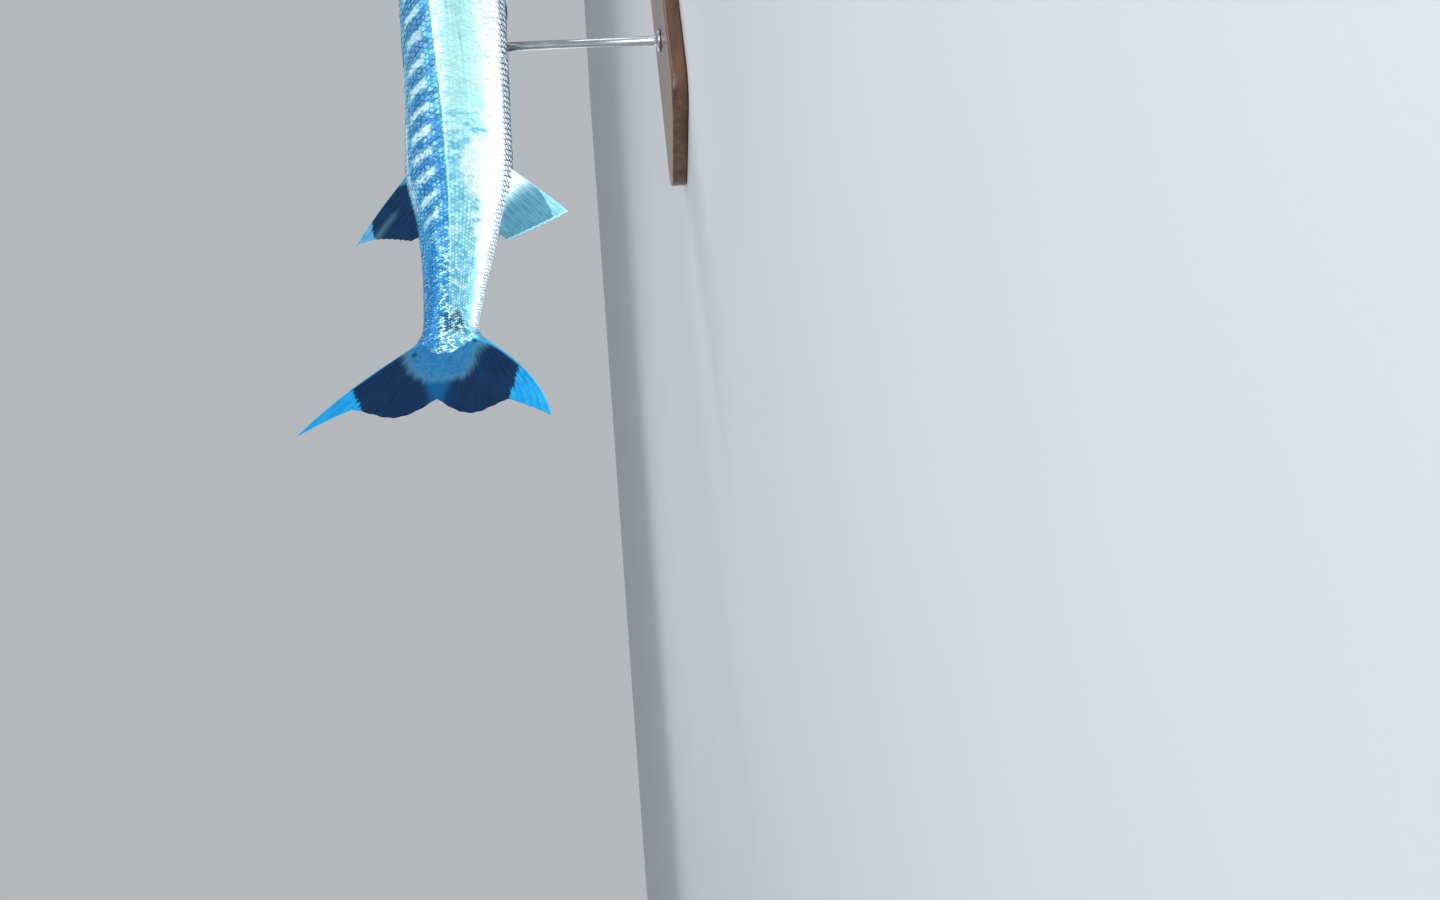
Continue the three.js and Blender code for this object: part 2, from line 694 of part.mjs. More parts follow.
function makeBase() {
  const [length, width, thick] = BASE_SIZE;
  const bevel = BASE_BEVEL;
  const [x, y, r] = [length / 2 - bevel, width / 2 - bevel, BASE_CORNER];
  const outline = new THREE.Shape();
  outline.moveTo(-x + r, -y);
  outline.lineTo(x - r, -y);
  outline.absarc(x - r, -y + r, r, -Math.PI / 2, 0);
  outline.absarc(x - r, y - r, r, 0, Math.PI / 2);
  outline.absarc(-x + r, y - r, r, Math.PI / 2, Math.PI);
  outline.absarc(-x + r, -y + r, r, Math.PI, (3 * Math.PI) / 2);
  const geometry = new THREE.ExtrudeGeometry(outline, {
    depth: thick - 2 * bevel,
    bevelThickness: bevel,
    bevelSize: bevel,
    bevelSegments: 1,
    curveSegments: 6,
  });
  geometry.translate(along(BASE_PLACE), 0, bevel);
  return asMesh('stand_base', solid(geometry), materials.stand_wood, false);
}

// Rod with a round foot on the base, its top end cut to the belly that it carries
function makeRod(name, whole) {
  const s = ROD_PLACES[name];
  const bottom = BASE_SIZE[2] + GAP;
  const top = height(bellyAt(s)) + 2 * ROD_RADIUS;
  const { radius, shoulder, thick } = ROD_FOOT;
  const profile = [
    [0, bottom], [radius, bottom], [radius, bottom + thick - 2], [shoulder, bottom + thick],
    [ROD_RADIUS, bottom + thick + 1], [ROD_RADIUS, top], [0, top],
  ].map(([r, z]) => new THREE.Vector2(r, z));
  const geometry = new THREE.LatheGeometry(profile, ROD_SIDES);
  geometry.rotateX(Math.PI / 2);
  geometry.translate(along(s), 0, 0);
  const rod = solid(geometry).subtract(whole);
  return asMesh(name, rod, materials.stand_steel, false);
}

const whole = bodyLoft();
const cleared = bodyLoft(GAP);
const barracuda = new THREE.Group();
barracuda.add(makeHead(whole), makeLowerJaw());
for (const [side, label] of [[1, 'left'], [-1, 'right']]) {
  barracuda.add(makeGillCover(side, `gill_cover_${label}`));
  barracuda.add(asMesh(`eye_${label}`, eyeBall(side, 0), materials.eye));
  barracuda.add(pairedFin(`pectoral_fin_${label}`, side, PECTORAL, cleared));
  barracuda.add(pairedFin(`pelvic_fin_${label}`, side, PELVIC, cleared));
}
['torso_front', 'torso_middle', 'torso_rear', 'tail_stalk'].forEach((name, k) => {
  let length = whole.intersect(slice(TORSO_CUTS[k], TORSO_CUTS[k + 1]));
  if (name === 'torso_front') {
    length = length.subtract(gillRoom(1, GAP)).subtract(gillRoom(-1, GAP));
  }
  barracuda.add(asMesh(name, length, materials.skin));
});
barracuda.add(medianFin('first_dorsal_fin', FIRST_DORSAL, materials.fin_dark, cleared));
barracuda.add(medianFin('second_dorsal_fin', SECOND_DORSAL, materials.fin_dark, cleared));
barracuda.add(medianFin('anal_fin', ANAL, materials.fin_pale, cleared));
barracuda.add(makeCaudal(), makeBase());
for (const name of Object.keys(ROD_PLACES)) {
  barracuda.add(makeRod(name, cleared));
}

export default barracuda;
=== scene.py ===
"""Looks of a life-size great barracuda swimming level on a museum stand.

Metres, +Z up, head towards +X, right flank towards -Y, base on Z = 0. Places along the body are
fractions of the standard length from the tip of the upper jaw, and heights are fractions of it
from the body axis, as in the solids. Rows run round the body: 0 at the middle of the back, 1 on
the lateral line, 2 under the belly. Side is 1 for the left and -1 for the right.
"""

import math

import bmesh
import bpy
import numpy as np
from mathutils import Matrix, Vector


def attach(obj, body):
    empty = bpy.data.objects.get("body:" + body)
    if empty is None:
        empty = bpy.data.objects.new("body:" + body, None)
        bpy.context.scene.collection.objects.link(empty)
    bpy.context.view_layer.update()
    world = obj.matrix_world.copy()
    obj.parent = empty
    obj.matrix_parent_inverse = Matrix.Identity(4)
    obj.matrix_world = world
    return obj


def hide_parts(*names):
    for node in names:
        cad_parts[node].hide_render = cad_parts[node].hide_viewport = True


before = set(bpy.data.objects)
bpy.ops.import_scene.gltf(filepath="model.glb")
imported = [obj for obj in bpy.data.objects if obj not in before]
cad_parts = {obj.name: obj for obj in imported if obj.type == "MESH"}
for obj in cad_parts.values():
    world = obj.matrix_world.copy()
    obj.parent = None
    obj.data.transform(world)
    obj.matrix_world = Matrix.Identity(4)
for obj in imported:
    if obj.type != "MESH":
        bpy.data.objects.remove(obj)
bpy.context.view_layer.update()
rng = np.random.default_rng(7)

# Driving dimensions, the same as in the solids
LENGTH = 1.03
CHIN_REACH = 0.013
TAIL_REACH = 1.12
AXIS_HEIGHT = 0.29
GAP = 0.0003
MM = 0.001
SNOUT_X = (TAIL_REACH - CHIN_REACH) / 2 * LENGTH

# Body stations in hundredths: place, top, belly, half width, height of the widest line
STATIONS = np.array([
    [0, 0.5, -3.2, 0.9, -0.8],
    [2.5, 1.4, -4.1, 1.45, -0.9],
    [6, 2.4, -4.9, 2.05, -1.0],
    [10, 3.45, -5.5, 2.75, -1.0],
    [14.7, 4.6, -5.9, 3.65, -0.8],
    [20, 5.55, -6.2, 4.45, -0.6],
    [26, 6.3, -6.45, 5.05, -0.4],
    [33, 6.85, -6.5, 5.45, 0],
    [41, 7.1, -6.5, 5.6, 0.1],
    [50, 6.5, -6.6, 5.5, 0.1],
    [60, 6.0, -6.7, 5.15, -0.1],
    [70, 5.85, -6.8, 4.5, -0.3],
    [74, 5.5, -6.6, 4.15, -0.3],
    [80, 4.3, -5.5, 3.35, -0.3],
    [87, 3.5, -4.3, 2.55, -0.2],
    [93, 3.15, -3.4, 2.0, 0],
    [97.4, 3.07, -2.95, 1.65, 0.05],
    [98.9, 3.4, -3.5, 1.45, 0],
    [100, 4.05, -4.45, 1.3, -0.1],
])
NOSE_ROUND = 0.014
SNOUT_TIP_HEIGHT = 0.0005
CHIN_TIP_HEIGHT = -0.0265
CHIN_BLEND = 0.06
SKULL_SQUARENESS = 3
THROAT_SQUARENESS = 2
BODY_SQUARENESS = 2.15
SKULL_END = 0.24

TAIL_SWING = 0.05
TAIL_SWING_START = 0.55
HEAD_SWING = 0.007
HEAD_SWING_END = 0.3

MOUTH_CORNER = (0.122, -0.0225)
UPPER_LIP_FRONT = -0.001
LOWER_LIP_FRONT = -0.0245
LIP_BEND = 0.2
JAW_REAR = (0.168, -0.046)
MOUTH_END = 0.16

EYE_PLACE = (0.147, 0.0165)
EYE_RADIUS = 0.021
EYE_DEPTH = 0.008
EYE_INSET = 0.0032
RIM_RADIUS = 0.0216
RIM_THICKNESS = 0.003
RIM_SUNK = 0.0016

# Nostrils as place, height and radius in millimetres
NOSTRILS = ((0.108, 0.0235, 1.6), (0.116, 0.0255, 2.1))

# Skin round the eye: how much lower the rim lies than in the solids, and the depth of the socket
RIM_LOWERED = 0.0012
SOCKET_DEPTH = 0.009

# Lines on the side of the head, as places and heights
MAXILLA_EDGE = (
    (-0.02, -0.02), (-0.02, 0.0035), (0.012, 0.0035), (0.05, -0.0005), (0.09, -0.0065),
    (0.12, -0.0095), (0.134, -0.0125), (0.141, -0.02), (0.14, -0.028), (0.134, -0.032),
    (0.12, -0.034),
)
GILL_EDGE = (
    (0.213, -0.006), (0.217, 0.016), (0.231, 0.031), (0.256, 0.037), (0.282, 0.03),
    (0.298, 0.013), (0.305, -0.003), (0.298, -0.022), (0.281, -0.041), (0.256, -0.054),
    (0.229, -0.056), (0.215, -0.034),
)
CHEEK_EDGE = ((0.187, 0.034), (0.199, 0.018), (0.204, -0.006), (0.204, -0.03), (0.196, -0.048))
GILL_PLATE_LINE = ((0.221, -0.026), (0.25, -0.034), (0.286, -0.026))
JAW_CREASE = (MOUTH_CORNER, (0.14, -0.0335), JAW_REAR, (0.172, -0.053))

# Lateral line, as place and height
LATERAL_LINE = np.array([
    (0, 0.0004), (0.06, 0.006), (0.12, 0.0165), (0.2, 0.03), (0.26, 0.0365), (0.31, 0.036),
    (0.37, 0.0318), (0.44, 0.0268), (0.56, 0.0168), (0.66, 0.0085), (0.74, 0.0046),
    (0.8, 0.002), (0.9, 0.0002), (1, 0.0005),
])

# Camera, fitted to landmarks of the tail in the photograph, whose picture is turned: its upper
# edge lies towards the head and its left edge towards the back of the fish
FOCAL_LENGTH = 36.25
SENSOR_WIDTH = 36
CAMERA_PLACE = (-1.4077, -1.3585, 0.1299)
CAMERA_RIGHT = (-0.09809928, -0.03295217, -0.99463093)
CAMERA_UP = (0.8507036, -0.52140566, -0.06662971)


# Shape of the body

def smooth(low, high, x):
    t = np.clip((x - low) / (high - low), 0, 1)
    return t * t * (3 - 2 * t)


def hermite(places, values, x):
    """Smooth curve through points, with central slopes."""
    x = np.clip(x, places[0], places[-1])
    slopes = np.empty(len(places))
    slopes[1:-1] = (values[2:] - values[:-2]) / (places[2:] - places[:-2])
    slopes[0] = (values[1] - values[0]) / (places[1] - places[0])
    slopes[-1] = (values[-1] - values[-2]) / (places[-1] - places[-2])
    i = np.clip(np.searchsorted(places, x) - 1, 0, len(places) - 2)
    span = places[i + 1] - places[i]
    t = (x - places[i]) / span
    return (
        (2 * t**3 - 3 * t**2 + 1) * values[i]
        + (t**3 - 2 * t**2 + t) * span * slopes[i]
        + (3 * t**2 - 2 * t**3) * values[i + 1]
        + (t**3 - t**2) * span * slopes[i + 1]
    )


def station(s, column):
    return hermite(STATIONS[:, 0], STATIONS[:, column], np.asarray(s, float) * 100) / 100


def top_at(s):
    return station(s, 1)


def belly_at(s):
    return station(s, 2)


def half_width_at(s):
    return station(s, 3)


def widest_at(s):
    return station(s, 4)


def squareness(s, above):
    ahead = np.where(above, SKULL_SQUARENESS, THROAT_SQUARENESS)
    return ahead + (BODY_SQUARENESS - ahead) * smooth(0, SKULL_END, s)


def flank_at(s, z):
    """Half width of the body at one place and height."""
    above = z > widest_at(s)
    reach = np.where(above, top_at(s), belly_at(s)) - widest_at(s)
    n = squareness(s, above)
    rise = np.clip(np.abs((z - widest_at(s)) / reach), 0, 1)
    return half_width_at(s) * (1 - rise**n) ** (1 / n)


def nose_round(s):
    return np.sqrt(1 - (1 - np.clip(s / NOSE_ROUND, 0, 1)) ** 2)


def section(s, angle, is_jaw=False):
    """Outline of the body as fractions: +90 degrees is the back, -90 the belly."""
    tip = CHIN_TIP_HEIGHT if is_jaw else SNOUT_TIP_HEIGHT
    c, d = np.cos(angle), np.sin(angle)
    above = d > 0
    n = squareness(s, above)
    rounding = nose_round(s)
    centre = tip + (widest_at(s) - tip) * rounding
    tall = np.where(above, top_at(s) - widest_at(s), widest_at(s) - belly_at(s)) * rounding
    y = half_width_at(s) * rounding * np.sign(c) * np.abs(c) ** (2 / n)
    z = centre + tall * np.sign(d) * np.abs(d) ** (2 / n)
    return y, z


def point(s, y, z):
    """Point in metres from its place, its reach to the left and its height."""
    return np.stack(np.broadcast_arrays(SNOUT_X - s * LENGTH, y * LENGTH, AXIS_HEIGHT + z * LENGTH), -1)


def place_of(points):
    return (SNOUT_X - points[..., 0]) / LENGTH


def height_of(points):
    return (points[..., 2] - AXIS_HEIGHT) / LENGTH


def flesh(s, angle, side, is_jaw=False):
    """Point of the bare body before it swings. The lower jaw is pulled forward at its tip."""
    y, z = section(s, angle, is_jaw)
    pulled = s - CHIN_REACH * np.clip(1 - s / CHIN_BLEND, 0, 1) if is_jaw else s
    return point(pulled, side * y, z)


def unit(vectors):
    size = np.linalg.norm(vectors, axis=-1, keepdims=True)
    return vectors / np.maximum(size, 1e-12)


def flesh_normal(s, angle, side, is_jaw=False):
    step, turn = 0.002, 0.02
    ahead = np.maximum(s - step, 0.0002)
    along = flesh(s + step, angle, side, is_jaw) - flesh(ahead, angle, side, is_jaw)
    around = flesh(s, angle + turn, side, is_jaw) - flesh(s, angle - turn, side, is_jaw)
    return unit(np.cross(along, around)) * np.sign(side)[..., None]


def swing(s):
    rear = np.clip((s - TAIL_SWING_START) / (1 - TAIL_SWING_START), 0, None)
    front = np.clip((HEAD_SWING_END - s) / HEAD_SWING_END, 0, None)
    return -TAIL_SWING * rear**2 - HEAD_SWING * front**2


def swung(points):
    """The sideways beat of the tail, and the head turned a little with it."""
    s = place_of(points)
    step = 0.001
    turn = np.arctan((swing(s + step) - swing(s - step)) / (2 * step * LENGTH))
    x = points[..., 0] + points[..., 1] * np.sin(turn)
    y = swing(s) + points[..., 1] * np.cos(turn)
    return np.stack([x, y, points[..., 2]], -1)


def lip_height(s, front):
    t = np.clip(s / MOUTH_CORNER[0], 0, 1)
    return front + (MOUTH_CORNER[1] - front) * ((1 - LIP_BEND) * t + LIP_BEND * t * t)


# Rows round the body

HALF_TURN = np.linspace(math.pi / 2, -math.pi / 2, 721)
TABLE_PLACES = np.linspace(0.002, 1, 500)
TABLE_ROWS = np.linspace(0, 2, 201)


def rows_of_ring(s, is_jaw=False):
    """Row number and arc length at each angle of HALF_TURN, for the ring at one place."""
    ring = flesh(np.full(HALF_TURN.shape, s), HALF_TURN, 1, is_jaw)
    step = np.linalg.norm(np.diff(ring, axis=0), axis=1)
    arc = np.concatenate([[0], np.cumsum(step)])
    heights = ring[:, 2]
    line = AXIS_HEIGHT + hermite(*LATERAL_LINE.T, np.array(s)) * LENGTH
    at_line = np.interp(-np.clip(line, heights[-2], heights[1]), -heights, arc)
    row = np.where(arc < at_line, arc / at_line, 1 + (arc - at_line) / (arc[-1] - at_line))
    return row, arc


def make_angle_table():
    """Angle of each of TABLE_ROWS at each of TABLE_PLACES, and the way from back to belly there."""
    table, around = [], []
    for s in TABLE_PLACES:
        row, arc = rows_of_ring(s)
        table.append(np.interp(TABLE_ROWS, row, HALF_TURN))
        around.append(arc[-1])
    return np.array(table), np.array(around)


ANGLE_TABLE, AROUND_TABLE = make_angle_table()


def angle_of_row(s, row):
    """Angle on the ring where a row lies, by straight steps between the table's values."""
    u = (s - TABLE_PLACES[0]) / (TABLE_PLACES[1] - TABLE_PLACES[0])
    u = np.clip(u, 0, len(TABLE_PLACES) - 1.001)
    v = np.clip(row / TABLE_ROWS[1], 0, len(TABLE_ROWS) - 1.001)
    i, j = u.astype(int), v.astype(int)
    p, q = u - i, v - j
    low = ANGLE_TABLE[i, j] * (1 - q) + ANGLE_TABLE[i, j + 1] * q
    high = ANGLE_TABLE[i + 1, j] * (1 - q) + ANGLE_TABLE[i + 1, j + 1] * q
    return low * (1 - p) + high * p


# Relief of the skin: plates, folds, pits and the orbit

def distance_to_line(s, z, corners):
    """Distance in metres to a bent line drawn on the flank."""
    best = np.full(np.shape(s), 1e9)
    for (s0, z0), (s1, z1) in zip(corners[:-1], corners[1:]):
        along, up = s1 - s0, z1 - z0
        t = np.clip(((s - s0) * along + (z - z0) * up) / (along**2 + up**2), 0, 1)
        best = np.minimum(best, np.hypot(s - s0 - t * along, z - z0 - t * up))
    return best * LENGTH


def rounded(corners, rounds):
    """Outline with its corners cut round, which ends where it starts."""
    points = np.array(corners)
    for _ in range(rounds):
        after = np.roll(points, -1, axis=0)
        points = np.stack([0.75 * points + 0.25 * after, 0.25 * points + 0.75 * after], 1)
        points = points.reshape(-1, 2)
    return np.concatenate([points, points[:1]])


GILL_OUTLINE = rounded(GILL_EDGE, 2)
MAXILLA_OUTLINE = rounded(MAXILLA_EDGE, 1)


def depth_inside(s, z, outline):
    """Distance to a closed outline, above zero inside it."""
    inside = np.zeros(np.shape(s), bool)
    for (s0, z0), (s1, z1) in zip(outline[:-1], outline[1:]):
        crosses = (z0 > z) != (z1 > z)
        reach = s0 + (z - z0) * (s1 - s0) / (z1 - z0 if z1 != z0 else 1e-9)
        inside ^= crosses & (s < reach)
    distance = distance_to_line(s, z, outline)
    return np.where(inside, distance, -distance)


def groove(distance, depth, width):
    """Round groove along a line, or a ridge if its depth is below zero, sizes in millimetres."""
    return -depth * MM * np.exp(-((distance / (width * MM)) ** 2))


def gill_relief(s, z):
    inside = depth_inside(s, z, GILL_OUTLINE)
    ramp = np.where(s < 0.225, 7 * MM, 1.4 * MM)
    plate = 1.8 * MM * smooth(0, 1, inside / ramp)
    rim = groove(inside - 2.2 * MM, -0.7, 1.6) * smooth(0.22, 0.24, s)
    slit = groove(inside + 1.6 * MM, 1.5, 1.3) * smooth(0.225, 0.245, s)
    return plate + rim + slit + groove(distance_to_line(s, z, GILL_PLATE_LINE), 0.6, 1.4)


def maxilla_relief(s, z, is_jaw):
    inside = depth_inside(s, z, MAXILLA_OUTLINE)
    plate = 1.6 * MM * smooth(0, 1, inside / (2.2 * MM)) + groove(inside + 0.8 * MM, 0.5, 0.9)
    return plate * smooth(0.1, 0.118, s) if is_jaw else plate


def fold_relief(s, z):
    """Fine folds of the throat behind the jaw."""
    folds = np.sin((z + 0.35 * (s - 0.16) ** 2 / 0.1) * LENGTH / (1.05 * MM))
    reach = smooth(0.165, 0.185, s) * (1 - smooth(0.24, 0.27, s))
    return 0.35 * MM * folds * reach * (1 - smooth(-0.056, -0.05, z))


def head_relief(s, z):
    """Edges, ridges and pits of the head, in metres outwards."""
    cheek = distance_to_line(s, z, CHEEK_EDGE)
    height = groove(cheek, 0.9, 1.5) + groove(cheek - 3.5 * MM, -0.5, 2)
    height += groove(distance_to_line(s, z, JAW_CREASE), 1.0, 1.4)
    skull_line = np.abs(z - (top_at(s) - 0.0055 - 0.02 * s)) * LENGTH
    skull_reach = smooth(0.05, 0.09, s) * (1 - smooth(0.17, 0.21, s))
    height += groove(skull_line, -0.9, 2.2) * skull_reach
    jaw_line = np.abs(z - (lip_height(s, LOWER_LIP_FRONT) - 0.0135 + 0.03 * s)) * LENGTH
    jaw_reach = smooth(0.01, 0.03, s) * (1 - smooth(0.11, 0.14, s))
    height += groove(jaw_line, 0.6, 1.5) * jaw_reach
    for place, level, radius in NOSTRILS:
        away = np.hypot(s - place, z - level) * LENGTH
        height += groove(away, 1.9, 0.8 * radius)
        height += groove(away - 1.5 * radius * MM, -0.45, 0.6 * radius)
    return height


def eye_frame(side):
    """Point of the flank at the eye, and the way outwards there."""
    s, z = EYE_PLACE
    step = 0.002
    backwards = (flank_at(s + step, z) - flank_at(s - step, z)) / (2 * step)
    upwards = (flank_at(s, z + step) - flank_at(s, z - step)) / (2 * step)
    normal = unit(np.array([backwards, side, -upwards], float))
    return point(s, side * flank_at(s, z), z), normal


def with_orbit(points, side):
    """Raises the rim of the orbit round the eye and sinks the socket under it."""
    centre, normal = eye_frame(side)
    offset = points - centre
    level = offset @ normal
    away = np.linalg.norm(offset - level[..., None] * normal, axis=-1)
    near = (away < RIM_RADIUS + 2 * RIM_THICKNESS) & (level > -0.02)
    across = np.clip(np.abs(away - RIM_RADIUS) / RIM_THICKNESS, 0, 1)
    rim = RIM_THICKNESS * np.sqrt(1 - across**2) - RIM_SUNK - RIM_LOWERED
    rim = np.where(across < 1, rim, -1)
    sharp = 1.1 / MM
    both = np.maximum(level, rim) + np.log1p(np.exp(-np.abs(level - rim) * sharp)) / sharp
    socket = -SOCKET_DEPTH * smooth(RIM_RADIUS - 1.2 * MM, RIM_RADIUS - 5 * MM, away)
    moved = np.where(away < RIM_RADIUS, np.where(across < 1, rim, -0.004), both) + socket
    return points + (np.where(near, moved, level) - level)[..., None] * normal


def scaled_share(s, z, row):
    """How far the skin is covered with scales: the body, the nape, the cheek and the gill cover."""
    body = smooth(0.292, 0.3, s)
    nape_start = 0.184 + 0.05 * np.clip(row, 0, 1) ** 1.5
    nape = smooth(nape_start, nape_start + 0.008, s) * smooth(0.026, 0.032, z)
    cheek_start = 0.181 + 18 * (z - 0.002) ** 2
    cheek = smooth(cheek_start, cheek_start + 0.006, s) * smooth(-0.048, -0.043, z)
    return np.clip(body + nape + cheek * (1 - smooth(0.024, 0.029, z)), 0, 1)


SCALE_DEPTH = 0.6 * MM


def on_skin(s, angle, side, is_jaw=False, lift=0.0):
    """Point of the finished skin, grown by a lift, and before the body swings."""
    side = np.broadcast_to(side, np.shape(s))
    _, z = section(s, angle, is_jaw)
    height = (maxilla_relief(s, z, is_jaw) + head_relief(s, z) + fold_relief(s, z) + gill_relief(s, z))
    height = height * smooth(0.004, 0.02, s) - SCALE_DEPTH * scaled_share(s, z, 0) + lift
    points = flesh(s, angle, side, is_jaw) + flesh_normal(s, angle, side, is_jaw) * height[..., None]
    if is_jaw:
        return points
    for one in (-1, 1):
        points = np.where((side == one)[..., None], with_orbit(points, one), points)
    return points


# Meshes

def add_object(name, data):
    added = bpy.data.objects.new(name, data)
    bpy.context.scene.collection.objects.link(added)
    return added


def make_mesh(name, points, faces, material):
    mesh = bpy.data.meshes.new(name)
    mesh.from_pydata(np.asarray(points).reshape(-1, 3).tolist(), [], faces)
    mesh.materials.append(material)
    return mesh


def make_piece(name, points, faces, material, slot=None, replaced=(), weld=None, **attributes):
    """Mesh object that rides on the fish. Attributes are values at its points."""
    mesh = make_mesh(name, points, faces, material)
    mesh.polygons.foreach_set("use_smooth", np.ones(len(mesh.polygons), bool))
    for label, values in attributes.items():
        attribute = mesh.attributes.new(label, "FLOAT", "POINT")
        attribute.data.foreach_set("value", np.ascontiguousarray(values, np.float32).ravel())
    if weld:
        join_points(mesh, weld)
    mesh.update()
    piece = add_object(name, mesh)
    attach(piece, "root")
    if replaced:
        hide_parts(*replaced)
    return piece


def join_points(mesh, distance):
    """Joins points that lie on each other and turns all faces outwards."""
    work = bmesh.new()
    work.from_mesh(mesh)
    bmesh.ops.remove_doubles(work, verts=work.verts, dist=distance)
    bmesh.ops.dissolve_degenerate(work, edges=work.edges, dist=distance / 4)
    bmesh.ops.recalc_face_normals(work, faces=work.faces)
    work.to_mesh(mesh)
    work.free()


def grid_faces(rows, columns, start=0, flip=False):
    """Quads of a grid of rows by columns of points."""
    i, j = np.meshgrid(np.arange(rows - 1), np.arange(columns - 1), indexing="ij")
    a = start + i * columns + j
    corners = np.stack([a, a + 1, a + columns + 1, a + columns], -1).reshape(-1, 4)
    return (corners[:, ::-1] if flip else corners).tolist()


def tube_faces(rings, sides, start=0):
    """Quads between closed rings of points."""
    i, j = np.meshgrid(np.arange(rings - 1), np.arange(sides), indexing="ij")
    a = start + i * sides + j
    b = start + i * sides + (j + 1) % sides
    return np.stack([a, b, b + sides, a + sides], -1).reshape(-1, 4).tolist()


def full_turn(sides):
    return np.arange(sides) * 2 * math.pi / sides


# Node trees of the materials

def srgb(red, green, blue):
    """Colour given as on a screen, 0 to 255, for a socket."""
    linear = []
    for value in (red, green, blue):
        v = value / 255
        linear.append(v / 12.92 if v <= 0.04045 else ((v + 0.055) / 1.055) ** 2.4)
    return (*linear, 1)


class Value:
    """Output of a node, which can be added, multiplied and ramped."""

    def __init__(self, graph, socket):
        self.graph = graph
        self.socket = socket

    def math(self, operation, other=None):
        return self.graph.node("Math", enumerate((self, other)), operation=operation)

    def __add__(self, other):
        return self.math("ADD", other)

    def __sub__(self, other):
        return self.math("SUBTRACT", other)

    def __rsub__(self, other):
        return self.graph.node("Math", enumerate((other, self)), operation="SUBTRACT")

    def __mul__(self, other):
        return self.math("MULTIPLY", other)

    def ramp(self, low, high, to_low=0, to_high=1):
        """Smooth step between two values."""
        inputs = enumerate((self, low, high, to_low, to_high))
        return self.graph.node("MapRange", inputs, interpolation_type="SMOOTHSTEP")

    def within(self, low, high, soft):
        """1 between two values, fading over a soft edge outside them."""
        return self.ramp(low - soft, low) * self.ramp(high + soft, high)


class Graph:
    """Short names for the nodes that the materials are made of."""

    def __init__(self, name):
        self.material = bpy.data.materials.new(name)
        self.material.use_nodes = True
        self.tree = self.material.node_tree
        self.tree.nodes.clear()
        output = self.tree.nodes.new("ShaderNodeOutputMaterial")
        self.shader = self.tree.nodes.new("ShaderNodeBsdfPrincipled")
        self.tree.links.new(self.shader.outputs[0], output.inputs[0])
        self.spot = self.node("TexCoord", output="Object")
        self.colour = None

    def put(self, socket, value):
        if isinstance(value, Value):
            self.tree.links.new(value.socket, socket)
        elif value is not None:
            socket.default_value = value

    def node(self, kind, inputs=(), output=0, **settings):
        """New node with its settings and its inputs, by name or number."""
        node = self.tree.nodes.new("ShaderNode" + kind)
        for name, value in settings.items():
            setattr(node, name, value)
        for name, value in dict(inputs).items():
            self.put(node.inputs[name], value)
        return Value(self, node.outputs[output])

    def attributes(self, *names):
        return [self.node("Attribute", output="Fac", attribute_name=name) for name in names]

    def noise(self, vector, scale, detail=2, roughness=0.5):
        inputs = {"Vector": vector, "Scale": scale, "Detail": detail, "Roughness": roughness}
        return self.node("TexNoise", inputs)

    def stretched_noise(self, stretch, detail, roughness=0.5, vector=None):
        vector = self.node("Mapping", {"Vector": vector or self.spot, "Scale": stretch})
        return self.noise(vector, 1, detail, roughness)

    def noise_over(self, x, y, detail, roughness=0.5):
        """Noise on two values, such as place and row."""
        return self.noise(self.node("CombineXYZ", enumerate((x, y))), 1, detail, roughness)

    def bump(self, height, distance, strength):
        return self.node("Bump", {"Strength": strength, "Distance": distance, "Height": height})

    def palette(self, value, stops):
        """Colours at steps of a value from 0 to 1."""
        node = self.node("ValToRGB", {0: value})
        ramp = node.socket.node.color_ramp
        ramp.interpolation = "EASE"
        while len(ramp.elements) < len(stops):
            ramp.elements.new(0.5)
        for element, (position, colour) in zip(ramp.elements, stops):
            element.position = position
            element.color = srgb(*colour)
        return node

    def mix(self, share, a, b, blend="MIX"):
        return self.node("Mix", {0: share, 6: a, 7: b}, output=2, data_type="RGBA", blend_type=blend)

    def paint(self, colour, share, blend="MIX"):
        """Lays a colour over what is there."""
        self.colour = self.mix(share, self.colour, colour, blend)

    def finish(self, **values):
        """Sets the shader's sockets and hands out the material."""
        self.put(self.shader.inputs["Base Color"], self.colour)
        for name, value in values.items():
            self.put(self.shader.inputs[name.replace("_", " ")], value)
        return self.material


# Colours and markings of the body

BAR_MIDDLE = 0.66
BAR_LEAN = 0.026
BARS_PER_LENGTH = 22.5
BARS_CLOSE_FROM = 0.55
BARS_CLOSING = 18.4
BRIGHT_BAR_AT = 0.73
BRIGHT_BAR = srgb(220, 255, 252)
DARK_BAR = srgb(0, 118, 180)
DULL_SCALE = srgb(0, 114, 176)
# Painted highlight: the white glints of the silver scales, painted into the colour
GLINT = srgb(214, 252, 250)
SPECKLE = srgb(14, 60, 88)
BLOTCH = srgb(88, 160, 184)
WHITE = srgb(248, 254, 253)
THROAT = srgb(206, 224, 228)
FLANK_LINE = srgb(140, 214, 214)
FLANK_PATCH = srgb(64, 164, 200)
FIN_BASE = srgb(58, 126, 172)
GILL_SHADE = srgb(74, 112, 128)
HEAD_SPECK = srgb(96, 172, 206)
HEAD_SHADE = srgb(22, 78, 118)
JAW_TIP = srgb(58, 98, 126)

